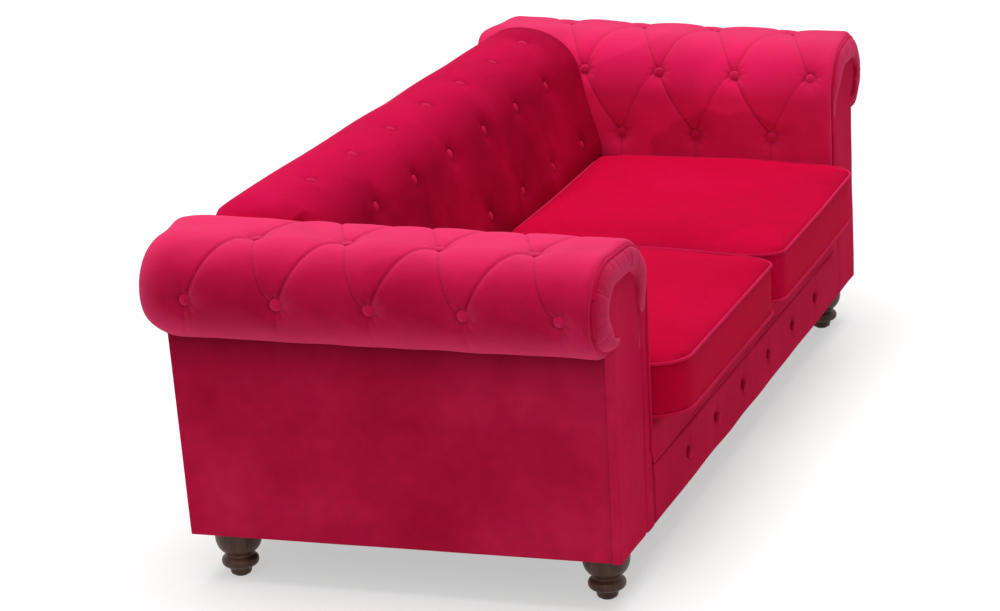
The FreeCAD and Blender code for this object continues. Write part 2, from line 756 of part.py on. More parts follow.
# Turned feet with their plates, bolts and glides
foot_top = rail_z - plate_thickness
neck_low = glide_height + foot_toe_height + foot_bead_height
bead_low = neck_low - foot_bead_height
neck_high = neck_low + foot_neck_height
bulb_mid = neck_high + (foot_top - neck_high) * 0.6
foot_edges = [
    Part.makeLine(vec(0, 0, foot_top), vec(foot_top_radius, 0, foot_top)),
    Part.Arc(vec(foot_top_radius, 0, foot_top), vec(foot_bulb_radius, 0, bulb_mid),
             vec(foot_neck_radius, 0, neck_high)).toShape(),
    Part.makeLine(vec(foot_neck_radius, 0, neck_high), vec(foot_neck_radius, 0, neck_low)),
    Part.Arc(vec(foot_neck_radius, 0, neck_low), vec(foot_bead_radius, 0, neck_low - foot_bead_height / 2),
             vec(foot_ankle_radius, 0, bead_low)).toShape(),
    Part.makeLine(vec(foot_ankle_radius, 0, bead_low), vec(foot_toe_radius, 0, glide_height)),
    Part.makeLine(vec(foot_toe_radius, 0, glide_height), vec(0, 0, glide_height)),
    Part.makeLine(vec(0, 0, glide_height), vec(0, 0, foot_top)),
]
foot_blank = Part.Face(Part.Wire(foot_edges)).revolve(vec(0, 0, 0), vec(0, 0, 1), 360)
foot = foot_blank.cut(Part.makeCylinder(bolt_hole, bolt_in_foot, vec(0, 0, foot_top - bolt_in_foot)))
plate = box(-plate_size / 2, plate_size / 2, -plate_size / 2, plate_size / 2, foot_top, rail_z)
plate = plate.cut(Part.makeCylinder(bolt_hole, plate_thickness, vec(0, 0, foot_top)))
bolt = Part.makeCylinder(bolt_radius, bolt_in_foot + plate_thickness + bolt_in_block, vec(0, 0, foot_top - bolt_in_foot))
glide = Part.makeCylinder(glide_radius, glide_height)
plates = []
bolts = []
glides = []
for row_name, (spot_x, spot_y) in zip(("front", "rear"), foot_spots):
    for side_name, side in (("left", -1), ("right", 1)):
        spot = vec(side * spot_x, spot_y, 0)
        standing = foot.copy()
        standing.translate(spot)
        save(row_name + "_" + side_name + "_foot", standing)
        for group, piece in ((plates, plate), (bolts, bolt), (glides, glide)):
            copy = piece.copy()
            copy.translate(spot)
            group.append(copy)
save("foot_plates", together(plates))
save("foot_bolts", together(bolts))
save("foot_glides", together(glides))
print("nodes", len(counts))
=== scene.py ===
import json
import math
import bpy
import numpy as np
from mathutils import Matrix


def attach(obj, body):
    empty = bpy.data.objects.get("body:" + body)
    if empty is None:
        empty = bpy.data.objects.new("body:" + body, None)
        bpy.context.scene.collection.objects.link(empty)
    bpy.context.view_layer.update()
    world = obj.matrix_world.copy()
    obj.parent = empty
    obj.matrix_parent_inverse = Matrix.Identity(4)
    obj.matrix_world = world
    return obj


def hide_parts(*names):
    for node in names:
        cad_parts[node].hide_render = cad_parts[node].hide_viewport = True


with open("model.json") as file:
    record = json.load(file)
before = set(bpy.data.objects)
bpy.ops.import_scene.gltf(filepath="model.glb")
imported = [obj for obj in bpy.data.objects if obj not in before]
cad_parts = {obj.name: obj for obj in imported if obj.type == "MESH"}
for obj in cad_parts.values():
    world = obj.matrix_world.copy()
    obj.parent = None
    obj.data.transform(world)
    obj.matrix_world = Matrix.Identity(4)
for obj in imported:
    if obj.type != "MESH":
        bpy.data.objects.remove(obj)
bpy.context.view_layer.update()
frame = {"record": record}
scene = bpy.context.scene
scene.view_settings.view_transform = "Standard"

# sizes of the sofa in millimetres, front towards -Y
sofa = dict(frontY=-373.0, rearY=427.0, innerX=700.0, outerX=900.0, floorGap=98.0, armTop=661.0,
            rollRadius=98.0, rollX=893.0, shoulder=120.0, padBottom=262.0, panelTop=465.0,
            borderTop=211.0, deckTop=286.0, backFootY=139.0, backRollY=315.0, backRollZ=563.0,
            backRadius=118.0, backRake=15.5, backTurn=105.0, kneeSoft=25.0)
rollZ = sofa["armTop"] - sofa["rollRadius"]
shoulderX = sofa["innerX"] + sofa["shoulder"]
shoulderZ = sofa["armTop"] - sofa["shoulder"]


# materials

def linearColour(hexText):  # sRGB hex to linear
    parts = [int(hexText[i:i + 2], 16) / 255 for i in (1, 3, 5)]
    return (*(c / 12.92 if c <= 0.04045 else ((c + 0.055) / 1.055) ** 2.4 for c in parts), 1.0)


def grey(level):  # ramp colour that is read as an amount
    return (level, level, level, 1.0)


def perMetre(size):  # scale of a pattern of this many millimetres
    return 1000 / size


def addNode(tree, kind, inputs=None, stops=None, **settings):
    # an input is a value or the socket that feeds it, stops are the places and colours of a ramp
    node = tree.nodes.new(kind)
    for key, value in settings.items():
        setattr(node, key, value)
    for key, value in (inputs or {}).items():
        if isinstance(value, bpy.types.NodeSocket):
            tree.links.new(value, node.inputs[key])
        else:
            node.inputs[key].default_value = value
    if stops:
        elements = node.color_ramp.elements
        elements[0].position, elements[0].color = stops[0]
        elements[1].position, elements[1].color = stops[-1]
        for spot, colour in stops[1:-1]:
            elements.new(spot).color = colour
    return node


def newMaterial(name):
    material = bpy.data.materials.new(name)
    material.use_nodes = True
    tree = material.node_tree
    tree.nodes.clear()
    return material, tree


def closeMaterial(tree, inputs):  # principled shader and the output
    shader = addNode(tree, "ShaderNodeBsdfPrincipled", inputs)
    addNode(tree, "ShaderNodeOutputMaterial", {"Surface": shader.outputs[0]})


# woven pile: deep red face on, painted highlight where it is marked, painted shade in folds and seams,
# and painted sheen when seen along the surface; sizes in millimetres of short streaks, strokes of a hand,
# threads (finer than a pixel here) and slack cloth
# folded is the colour of painted shade in folds, seams and under overhangs
velvetPile = dict(roughness=0.82, specular=0.025, sheenRoughness=0.35, flattened="#94022a", paintedShadeColour="#4d0416",
                  streakSize=23.81, streaks=0.16, strokeSize=277.8, strokeShift=(1.9, 1.1, 0.6),
                  threadSize=0.7143, threadHeight=0.0005, slackSize=62.5, slackHeight=0.004)


# edge is the colour of the painted sheen and the sheen tint, rim the share of painted sheen, lifted the
# colour of painted highlight
def makeVelvet(name, deep, middle, bright, edge, rim, napSize, sheen, strokes=0.0, highlightColour="#e21e5a"):
    material, tree = newMaterial(name)
    coords = addNode(tree, "ShaderNodeTexCoord").outputs["Object"]
    sizes = [napSize] + [velvetPile[key] for key in ("streakSize", "threadSize", "slackSize")]
    napAndHighlight, fine, thread, slack = (
        addNode(tree, "ShaderNodeTexNoise", {"Vector": coords, "Scale": perMetre(size), "Detail": detail,
                                             "Roughness": rough}).outputs["Fac"]
        for size, detail, rough in zip(sizes, (3.0, 4.0, 2.0, 3.0), (0.55, 0.5, 0.5, 0.5)))
    moved = addNode(tree, "ShaderNodeMapping", {"Vector": coords, "Location": velvetPile["strokeShift"]})
    hand = addNode(tree, "ShaderNodeTexNoise", {"Vector": moved.outputs["Vector"], "Detail": 1.5,
                                                "Scale": perMetre(velvetPile["strokeSize"]),
                                                "Distortion": 0.9}).outputs["Fac"]
    # painted sheen: the colour turns towards edge as the surface is seen more along it
    grazing = addNode(tree, "ShaderNodeLayerWeight", {"Blend": 0.5}).outputs["Facing"]
    patches, streaks, stroked, paintedSheen = (
        addNode(tree, "ShaderNodeValToRGB", {"Fac": factor}, stops).outputs["Color"]
        for factor, stops in (
            (napAndHighlight, [(0.32, linearColour(deep)), (0.5, linearColour(middle)), (0.68, linearColour(bright))]),
            (fine, [(0.3, grey(0.3)), (0.7, grey(0.7))]), (hand, [(0.54, grey(0)), (0.6, grey(strokes))]),
            (grazing, [(0.12, grey(0)), (0.85, grey(rim))])))
    tone = addNode(tree, "ShaderNodeMix", {"Factor": velvetPile["streaks"], "A": patches, "B": streaks},
                   data_type="RGBA", blend_type="OVERLAY").outputs["Result"]
    # the nap mark is the share of painted highlight, mostly on tops and insides; the crease mark is the share
    # of painted shade, deepest in the bottom of a fold
    paintedHighlight, paintedShade = (addNode(tree, "ShaderNodeAttribute", attribute_name=mark).outputs["Fac"]
                      for mark in ("napAndHighlight", "paintedShade"))
    # mix in painted highlight, darker strokes, painted shade and painted sheen, in that order
    for factor, colour in ((paintedHighlight, highlightColour), (stroked, velvetPile["flattened"]),
                           (paintedShade, velvetPile["paintedShadeColour"]), (paintedSheen, edge)):
        tone = addNode(tree, "ShaderNodeMix", {"Factor": factor, "A": tone, "B": linearColour(colour)},
                       data_type="RGBA").outputs["Result"]
    normal = addNode(tree, "ShaderNodeBump", {"Height": thread, "Strength": 0.35,
                                              "Distance": velvetPile["threadHeight"]}).outputs["Normal"]
    normal = addNode(tree, "ShaderNodeBump", {"Height": slack, "Strength": 0.22, "Normal": normal,
                                              "Distance": velvetPile["slackHeight"]}).outputs["Normal"]
    closeMaterial(tree, {"Base Color": tone, "Normal": normal,
                         "Roughness": velvetPile["roughness"], "Specular IOR Level": velvetPile["specular"],
                         "Sheen Weight": sheen, "Sheen Roughness": velvetPile["sheenRoughness"],
                         "Sheen Tint": linearColour(edge)})
    return material


woodGrain = dict(size=18.18, length=12.0, height=0.0006, specular=0.25, coatRoughness=0.25)


def makeWood(name, dark, light, rough, coat):  # grain is longest upright
    material, tree = newMaterial(name)
    coords = addNode(tree, "ShaderNodeTexCoord").outputs["Object"]
    drawn = addNode(tree, "ShaderNodeMapping", {"Vector": coords, "Scale": (1, 1, 1 / woodGrain["length"])})
    grain = addNode(tree, "ShaderNodeTexNoise", {"Vector": drawn.outputs["Vector"], "Detail": 6.0,
                                                 "Roughness": 0.65, "Scale": perMetre(woodGrain["size"])})
    tone = addNode(tree, "ShaderNodeValToRGB", {"Fac": grain.outputs["Fac"]},
                   [(0.35, linearColour(dark)), (0.7, linearColour(light))])
    bump = addNode(tree, "ShaderNodeBump", {"Height": grain.outputs["Fac"], "Distance": woodGrain["height"],
                                            "Strength": 0.3})
    closeMaterial(tree, {"Base Color": tone.outputs["Color"], "Normal": bump.outputs["Normal"],
                         "Roughness": rough, "Specular IOR Level": woodGrain["specular"], "Coat Weight": coat,
                         "Coat Roughness": woodGrain["coatRoughness"]})
    return material


def makePlain(name, dark, light, grainSize, rough, metal=0.0):
    material, tree = newMaterial(name)
    coords = addNode(tree, "ShaderNodeTexCoord").outputs["Object"]
    grain = addNode(tree, "ShaderNodeTexNoise", {"Vector": coords, "Scale": perMetre(grainSize),
                                                 "Detail": 4.0})
    tone = addNode(tree, "ShaderNodeValToRGB", {"Fac": grain.outputs["Fac"]},
                   [(0.3, linearColour(dark)), (0.7, linearColour(light))])
    bump = addNode(tree, "ShaderNodeBump", {"Height": grain.outputs["Fac"], "Distance": 0.0004,
                                            "Strength": 0.3})
    closeMaterial(tree, {"Base Color": tone.outputs["Color"], "Normal": bump.outputs["Normal"],
                         "Roughness": rough, "Metallic": metal})
    return material


# the same velvet on the tufted arms, stretched flat, on the seat with its pile brushed one way, on the back
# toned darker as painted shade with a pinker painted highlight, and cut narrow round a cord; each with its
# own share of painted sheen along the surface
velvet = makeVelvet("velvetCherry", "#a00a32", "#b0123c", "#c01c4a", "#ff5688", 0.42, 384.6, 0.2, 0.2)
velvetPlain = makeVelvet("velvetPanel", "#ac1036", "#b8163f", "#c41e48", "#dc0e4c", 0.5, 200.0, 0.03)
velvetSeat = makeVelvet("velvetSeat", "#aa022b", "#b60231", "#c20439", "#d80a40", 0.4, 454.5, 0.03, 0.1)
velvetBack = makeVelvet("velvetBack", "#840124", "#a0032d", "#b80a3c", "#d00c48", 0.3, 222.2, 0.1, 0.12,
                        "#dc1452")
piping = makeVelvet("velvetPiping", "#a80631", "#b60a39", "#c21243", "#e83a70", 0.42, 166.7, 0.1)
stainedWood = makeWood("stainedBeech", "#3a241c", "#5e4034", 0.45, 0.08)  # turned and lacquered, dull gloss
bareTimber = makeWood("sawnPine", "#8f6a3f", "#c49a66", 0.7, 0.0)  # sawn, pale and matt
hardboard = makePlain("hardboard", "#5b4029", "#765537", 5.556, 0.8)  # pressed fibre, brown and flat
steel = makePlain("springSteel", "#6d6f72", "#9a9da0", 8.333, 0.35, 1.0)  # drawn wire, grey gleam
glidePlastic = makePlain("glidePlastic", "#0d0d0e", "#18181a", 3.333, 0.5)  # moulded, black and half matt
lining = makePlain("liningCloth", "#0b0b0c", "#1b1b1d", 1.111, 0.95)  # woven, black without gloss
foam = makePlain("seatFoam", "#d8c88e", "#e8dcae", 1.4286, 0.95)  # cut foam, cream and matt
print("materials made")


# mesh helpers, points in millimetres

def unit(vectors):  # each row made one long
    return vectors / np.linalg.norm(vectors, axis=-1, keepdims=True)


def addObject(name, data):
    obj = bpy.data.objects.new(name, data)
    scene.collection.objects.link(obj)
    return obj


def markPoints(obj, mark, values):
    obj.data.attributes.new(mark, "FLOAT", "POINT").data.foreach_set("value", values)


def meshFrom(name, points, faces, material, smooth=True):
    mesh = bpy.data.meshes.new(name)
    points = np.asarray(points, float).reshape(-1, 3) * 0.001
    faces = np.asarray(faces, np.int64)
    mesh.vertices.add(len(points))
    mesh.vertices.foreach_set("co", points.ravel())
    size = faces.shape[1]
    mesh.loops.add(faces.size)
    mesh.loops.foreach_set("vertex_index", faces.ravel())
    mesh.polygons.add(len(faces))
    mesh.polygons.foreach_set("loop_start", np.arange(0, faces.size, size))
    mesh.polygons.foreach_set("use_smooth", np.full(len(faces), smooth))
    mesh.update(calc_edges=True)
    mesh.validate()
    mesh.materials.append(material)
    return addObject(name, mesh)


def gridFaces(rows, columns, wrapRows=False, wrapColumns=False):
    index = np.arange(rows * columns).reshape(rows, columns)
    if wrapRows:
        index = np.vstack([index, index[:1]])
    if wrapColumns:
        index = np.hstack([index, index[:, :1]])
    return np.stack([index[:-1, :-1], index[1:, :-1], index[1:, 1:], index[:-1, 1:]], -1).reshape(-1, 4)


def gridPiece(name, points, material, wrapRows=False, wrapColumns=False, flip=False, paintedShade=None, napAndHighlight=None):
    faces = gridFaces(points.shape[0], points.shape[1], wrapRows, wrapColumns)
    piece = meshFrom(name, points, faces[:, ::-1] if flip else faces, material)
    # crease carries painted shade, nap carries painted highlight
    for mark, values in (("paintedShade", paintedShade), ("napAndHighlight", napAndHighlight)):
        if values is not None:
            layer = np.zeros(points.shape[:2])
            skip = (points.shape[1] - values.shape[1]) // 2  # columns that close the ends
            layer[:values.shape[0], skip:skip + values.shape[1]] = values
            markPoints(piece, mark, layer.ravel())
    return piece


def bothSides(build):  # build(side) makes one piece, +1 right and -1 left
    for side in (1, -1):
        build(side)


def sideName(side):
    return "right" if side > 0 else "left"


def place(side, u, y, z):  # u counts outwards from the middle of the sofa
    u, y, z = np.broadcast_arrays(u, y, z)
    return np.stack([side * u, y, z], -1)


def closePad(outer, inner, ends):
    # rows of the outside go on round the inside, and each meets the nearest row of ends at both ends
    rows = len(inner)
    nearest = np.round(np.linspace(0, rows - 1, len(outer))).astype(int)
    match = np.concatenate([rows - 1 - nearest, np.arange(rows)])
    return np.concatenate([ends[match, :1], np.concatenate([outer, inner], 0), ends[match, -1:]], 1)


def turnBack(points, backY, axis):  # first and last lines are carried back to this depth
    first, last = np.split(np.take(points, [0, -1], axis), 2, axis)
    first[..., 1] = backY
    last[..., 1] = backY
    return np.concatenate([first, points, last], axis)


tubeSides = 12


def tubeAlong(path, radius, closed=False):
    # ring around each point: p + r (cos a n + sin a b), n and b square to the path
    path = np.asarray(path, float)
    ahead = np.roll(path, -1, 0) - np.roll(path, 1, 0)
    if not closed:
        ahead[0] = path[1] - path[0]
        ahead[-1] = path[-1] - path[-2]
    ahead = unit(ahead)
    helper = np.where(np.abs(ahead[:, 2:3]) > 0.9, np.array([[0, 1.0, 0]]), np.array([[0, 0, 1.0]]))
    across = unit(np.cross(ahead, helper))
    upward = np.cross(across, ahead)
    angle = np.linspace(0, 2 * np.pi, tubeSides, endpoint=False)
    radius = np.broadcast_to(radius, len(path))[:, None, None]
    return path[:, None] + radius * (np.cos(angle)[None, :, None] * across[:, None]
                                     + np.sin(angle)[None, :, None] * upward[:, None])


def smoothStep(low, high, value):  # runs from 0 at low to 1 at high
    t = np.clip((value - low) / (high - low), 0, 1)
    return t * t * (3 - 2 * t)


def wobble(x, y, seed, size):  # sum of a few sines, range about -1 to 1
    rng = np.random.default_rng(seed)
    total = np.zeros(np.broadcast(x, y).shape)
    for _ in range(7):
        angle = rng.uniform(0, 2 * np.pi)
        pitch = size * rng.uniform(0.6, 1.8)
        phase = rng.uniform(0, 6.28)
        total = total + np.sin((x * np.cos(angle) + y * np.sin(angle)) * 2 * np.pi / pitch + phase)
    return total / 4


# outlines: run along the section gives place and way out

insideLength = shoulderZ - sofa["padBottom"]
shoulderLength = sofa["shoulder"] * math.pi / 2
flatLength = sofa["rollX"] - shoulderX
rollStart = insideLength + shoulderLength + flatLength
armLength = rollStart + math.pi * sofa["rollRadius"]


def armSection(run):
    # inside straight, quarter round shoulder, flat top, half round roll
    run = np.asarray(run, float)
    a = np.clip((run - insideLength) / sofa["shoulder"], 0, math.pi / 2)
    b = np.clip((run - rollStart) / sofa["rollRadius"], 0, math.pi)
    flat = np.clip(run - insideLength - shoulderLength, 0, flatLength)
    u = shoulderX - sofa["shoulder"] * np.cos(a) + flat + sofa["rollRadius"] * np.sin(b)
    z = np.clip(run, 0, insideLength) + sofa["padBottom"] + sofa["shoulder"] * np.sin(a)
    z = z - sofa["rollRadius"] * (1 - np.cos(b))
    turn = a + b - math.pi / 2
    return u, z, np.sin(turn), np.cos(turn)


rake = math.radians(sofa["backRake"])
tangentY = sofa["backRollY"] - sofa["backRadius"] * math.cos(rake)
tangentZ = sofa["backRollZ"] + sofa["backRadius"] * math.sin(rake)
kneeZ = tangentZ - (tangentY - sofa["backFootY"]) / math.tan(rake)
footLength = kneeZ - sofa["padBottom"]
rakeLength = (tangentZ - kneeZ) / math.cos(rake)
backRollStart = footLength + rakeLength
backLength = backRollStart + (math.pi / 2 - rake + math.radians(sofa["backTurn"])) * sofa["backRadius"]


def backSection(run):
    # upright foot, raked face, roll over the top
    run = np.asarray(run, float)
    onFace = np.clip(run - footLength, 0, rakeLength)
    angle = np.clip((run - backRollStart) / sofa["backRadius"], 0, None) - (math.pi / 2 - rake)
    y = sofa["backFootY"] + onFace * math.sin(rake)
    z = sofa["padBottom"] + np.clip(run, 0, footLength) + onFace * math.cos(rake)
    onRoll = run > backRollStart
    y = np.where(onRoll, sofa["backRollY"] + sofa["backRadius"] * np.sin(angle), y)
    z = np.where(onRoll, sofa["backRollZ"] + sofa["backRadius"] * np.cos(angle), z)
    blend = smoothStep(footLength - sofa["kneeSoft"], footLength + sofa["kneeSoft"], run)
    tilt = np.where(onRoll, angle, -math.pi / 2 + rake * blend)
    return y, z, np.sin(tilt), np.cos(tilt)


# tufting: folds are curves between buttons, steep at their rear end

# a fold is part wide valley and part sharp crease, with a line of painted shade; puckers and a ring of
# painted shade stand round each button
foldShape = dict(points=14, wide=0.55, sharp=0.45, sharpWidth=2.6, lineWidth=2.1, lipWidth=7.0,
                 dimplePower=1.4, puckers=9, puckerHigh=0.5, puckerAt=20.0, puckerWidth=9.0, ringAt=11.0,
                 ringWidth=6.0)


def foldCurve(run0, along0, run1, along1, bend, depth, depthEnd=None):
    # run = run0 + (run1 - run0) (1 - (1 - t)^bend), the depth goes evenly from depth to depthEnd
    t = np.linspace(0, 1, foldShape["points"])
    runs = run0 + (run1 - run0) * (1 - (1 - t) ** bend)
    deep = depth + ((depth if depthEnd is None else depthEnd) - depth) * t
    return np.stack([runs, along0 + (along1 - along0) * t, deep], 1)


def tuftHeight(run, along, folds, buttons, tuft):
    # height = rise - deepest fold - dimple exp(-(r / size)^1.4), r is the distance from a button;
    # a fold is depth (0.55 exp(-d / width) + 0.45 exp(-d / 2.6)), d is the distance from its curve
    groove = np.zeros(run.shape)
    line = np.zeros(run.shape)
    lip = np.zeros(run.shape)
    ring = np.zeros(run.shape)
    nearest = np.full(run.shape, 1e9)
    for curve in folds:
        for (r0, a0, d0), (r1, a1, d1) in zip(curve[:-1], curve[1:]):
            dr, da = r1 - r0, a1 - a0
            t = np.clip(((run - r0) * dr + (along - a0) * da) / (dr * dr + da * da), 0, 1)
            offR, offA = run - r0 - t * dr, along - a0 - t * da
            gap = np.hypot(offR, offA)
            deep = d0 + (d1 - d0) * t
            valley = foldShape["wide"] * np.exp(-gap / tuft["width"])
            valley = valley + foldShape["sharp"] * np.exp(-gap / foldShape["sharpWidth"])
            groove = np.maximum(groove, deep * valley)
            line = np.maximum(line, deep / tuft["depth"] * np.exp(-(gap / foldShape["lineWidth"]) ** 2))
            closer = gap < nearest
            side = np.sign(offR * da - offA * dr) * (1 if da < 0 else -1)
            lip = np.where(closer, side * deep * np.exp(-gap / foldShape["lipWidth"]), lip)
            nearest = np.where(closer, gap, nearest)
    height = tuft["rise"] - groove + tuft["lip"] * lip
    for r, a in buttons:
        gap = np.hypot(run - r, along - a)
        turn = np.arctan2(run - r, along - a)
        around = np.exp(-((gap - foldShape["puckerAt"]) / foldShape["puckerWidth"]) ** 2)
        pucker = foldShape["puckerHigh"] * np.sin(foldShape["puckers"] * turn + r) * around
        dimple = tuft["dimple"] * np.exp(-(gap / tuft["size"]) ** foldShape["dimplePower"])
        height = height - dimple + pucker * tuft["pucker"]
        ring = np.maximum(ring, np.exp(-((gap - foldShape["ringAt"]) / foldShape["ringWidth"]) ** 2))
    # second value: painted shade along the folds and in a ring round each button
    return height, np.maximum(tuft["line"] * line, tuft["ring"] * ring)


# arm pads, tufted round the scroll

# line and ring: strength of the painted shade along folds and round buttons
armTuft = dict(pitch=168.0, first=62.0, shift=16.0, lowRun=187.0,
               highRun=insideLength + math.radians(27) * sofa["shoulder"],
               rollRun=rollStart + math.radians(-1) * sofa["rollRadius"],
               sideRun=rollStart + math.radians(91) * sofa["rollRadius"],
               rise=4.0, width=20.0, lip=0.2, dimple=12.0, size=22.0, pucker=1.0, depth=5.6, bend=1.7,
               line=0.42, ring=0.32, tailEnd=70.0, tailSlant=8.0, tailFan=5.0, step=2.9, uneven=0.9,
               unevenSize=150.0, frontSet=-2.0, frontRound=12.0, frontSink=0.85, frontBlend=60.0,
               recede=10.0, rearRound=42.0, rearLength=62.0, rearProud=31.0, rearShort=24.0,
               rearBlend=110.0, underFacing=8.0, inset=36.0, insetFront=30.0, insetRear=6.0, insetRows=48)
# the scroll drops at the front and rises to the rear, and the rear of the arm leans out with height
armLean = dict(frontDrop=19.0, rearRise=18.0, rightMore=6.0, fromZ=440.0, under=7.0, underWidth=35.0,
               rearZ=(98.0, 465.0, 520.0), rearOut=(0.0, 14.0, 25.0), rightShare=0.08)
# painted light on the arms: highlight less on top and fading round the scroll, painted shade under the scroll
armPaintedLight = dict(topLess=0.42, fadeFrom=20.0, fadeTo=130.0, shade=0.22, shadeFrom=70.0, shadeTo=10.0)
wideRows = [sofa["frontY"] + armTuft["first"] + i * armTuft["pitch"] for i in range(5)]
half = armTuft["pitch"] / 2
insideRows = [row - armTuft["shift"] for row in wideRows[:4]]
betweenRows = [row + half for row in insideRows]
armButtons = [(armTuft["lowRun"], row) for row in betweenRows[:3]]
armButtons += [(armTuft["highRun"], row) for row in insideRows]
armButtons += [(armTuft["rollRun"], row) for row in betweenRows]
armButtons += [(armTuft["sideRun"], row) for row in wideRows]


def armFolds():  # each fold: run and place of both ends, bend, depth at the first and at the last end
    deep, bend = armTuft["depth"], armTuft["bend"]
    low, high, top, side = (armTuft[key] for key in ("lowRun", "highRun", "rollRun", "sideRun"))
    curves = []
    for row in betweenRows[:3]:
        curves.append(foldCurve(high, row + half, low, row, 1.15, deep))
        curves.append(foldCurve(low, row, high, row - half, bend, deep * 0.5, deep * 0.8))
        curves.append(foldCurve(low, row, 10, row + 6, 1.0, deep * 0.6, deep * 0.3))
    for index, row in enumerate(betweenRows):
        curves.append(foldCurve(top, row, high, row - half, 1.1, deep * 0.9))
        if index < 3:
            curves.append(foldCurve(high, row + half, top, row, 1.3, deep * 0.9))
        outside = row + armTuft["shift"]
        curves.append(foldCurve(side, outside + half, top, row, bend, deep * 0.9))
        curves.append(foldCurve(top, row, side, outside - half, bend, deep * 0.9, deep * 0.4))
    for index, row in enumerate(wideRows):
        tail = row - armTuft["tailSlant"] + armTuft["tailFan"] * index
        curves.append(foldCurve(side, row, armLength - armTuft["tailEnd"], tail, 1.0, deep * 0.5, deep * 0.1))
    return curves


def roundedEnd(distance, radius):  # inset of a quarter round of this radius
    return radius - np.sqrt(np.maximum(radius ** 2 - np.clip(radius - distance, 0, radius) ** 2, 0))


def armLift(along, z, side):  # scrolls are smaller at the front, and the right one stands a little higher
    share = (along - sofa["frontY"]) / (sofa["rearY"] - sofa["frontY"])
    under = armLean["under"] * np.exp(-((z - sofa["panelTop"]) / armLean["underWidth"]) ** 2)
    top = (armLean["rearRise"] + armLean["rightMore"] * side) * share - armLean["frontDrop"]
    return top * np.clip((z - armLean["fromZ"]) / (sofa["armTop"] - armLean["fromZ"]), 0, 1) + under


def frontRecede(run):  # the front edge falls back round the outside of the scroll
    first, last = insideLength + 0.6 * shoulderLength, rollStart + 1.3 * sofa["rollRadius"]
    return armTuft["recede"] * smoothStep(first, last, run)


def rearPlane(z, side):  # rear of an arm leans back, then swells at the scroll, less on the right
    lean = np.interp(z, armLean["rearZ"], armLean["rearOut"])
    return sofa["rearY"] + (lean if side < 0 else armLean["rightShare"] * lean)


armRuns = np.linspace(0, armLength, int(armLength / armTuft["step"]))
padFront = sofa["frontY"] + armTuft["frontSet"]
padRear = sofa["rearY"] + armTuft["rearProud"]
armAlongs = np.linspace(padFront, padRear, int((padRear - padFront) / armTuft["step"]))
runGrid, alongGrid = np.meshgrid(armRuns, armAlongs, indexing="ij")
armHeight, armPaintedShade = tuftHeight(runGrid, alongGrid, armFolds(), armButtons, armTuft)
armHeight += armTuft["uneven"] * wobble(runGrid, alongGrid, 5, armTuft["unevenSize"])
armHeight -= armTuft["frontSink"] * roundedEnd(alongGrid - padFront, armTuft["frontRound"])
nearFront = 1 - smoothStep(padFront, padFront + armTuft["frontBlend"], alongGrid)
alongReal = alongGrid + frontRecede(runGrid) * nearFront
rearShare = np.clip(1 - (padRear - alongGrid) / armTuft["rearLength"], 0, 1)
rearInset = armTuft["rearRound"] * (1 - np.sqrt(1 - rearShare ** 2))
armHeight -= rearInset * smoothStep(insideLength + 0.5 * shoulderLength, rollStart, runGrid)
# painted highlight inside and on top, less over the top and fading round the scroll
armPaintedHighlight = 1 - armPaintedLight["topLess"] * smoothStep(armTuft["highRun"], rollStart, runGrid)
armPaintedHighlight = armPaintedHighlight * (1 - smoothStep(rollStart + armPaintedLight["fadeFrom"], rollStart + armPaintedLight["fadeTo"], runGrid))
scrollShade = smoothStep(armLength - armPaintedLight["shadeFrom"], armLength - armPaintedLight["shadeTo"], runGrid)
# painted shade under the scroll
armPaintedShade = armPaintedShade + armPaintedLight["shade"] * scrollShade  # under the scroll


def rightPaintedHighlight():  # painted highlight on the right arm, less in a wavy oval low down where a hand laid the pile flat, and less towards its front
    flat = dict(run=150.0, along=betweenRows[0] + 0.55 * armTuft["pitch"], halfRun=105.0,
                halfAlong=165.0, edge=0.9, waver=0.16, waverSize=120.0, less=0.4, frontShare=0.5,
                frontFrom=20.0, frontTo=220.0)
    far = np.hypot((runGrid - flat["run"]) / flat["halfRun"], (alongGrid - flat["along"]) / flat["halfAlong"])
    far = far + flat["waver"] * wobble(runGrid, alongGrid, 12, flat["waverSize"])
    inside = 1 - smoothStep(flat["edge"], 1.0, far)
    rearward = smoothStep(padFront + flat["frontFrom"], padFront + flat["frontTo"], alongGrid)
    return armPaintedHighlight * (1 - flat["less"] * inside) * (flat["frontShare"] + (1 - flat["frontShare"]) * rearward)


def makeArmPad(side):
    # section point + tuft height along its way out; a coarser section, set in, closes the inside
    u, z, outU, outZ = armSection(runGrid)
    onTop = smoothStep(insideLength, insideLength + shoulderLength, runGrid)
    topEnd = padRear - (armTuft["rearShort"] if side > 0 else 0)
    insideEnd = rearPlane(z, side) - armTuft["underFacing"]  # the rear facing covers this end
    end = topEnd * onTop + insideEnd * (1 - onTop)
    along = alongReal - (padRear - end) * smoothStep(sofa["rearY"] - armTuft["rearBlend"], padRear, alongReal)
    outer = place(side, u + armHeight * outU, along, z + armHeight * outZ + armLift(along, z, side))
    rows, inset = armTuft["insetRows"], armTuft["inset"]
    cu, cz, cOutU, cOutZ = armSection(np.linspace(armLength, 0, rows))
    held = np.clip(armAlongs, padFront + armTuft["insetFront"], sofa["rearY"] - armTuft["insetRear"])[None, :]
    inner = place(side, (cu - inset * cOutU)[:, None], held, (cz - inset * cOutZ)[:, None])
    name = sideName(side)
    pad = gridPiece(name + "ArmPadTufted", closePad(outer, inner, inner), velvet, wrapRows=True,
                    flip=side < 0, paintedShade=armPaintedShade, napAndHighlight=rightPaintedHighlight() if side > 0 else armPaintedHighlight)
    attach(pad, "frame")
    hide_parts(name + "_arm_pad")


bothSides(makeArmPad)
print("arm pads made")


# covered buttons: a domed cap with a soft rim

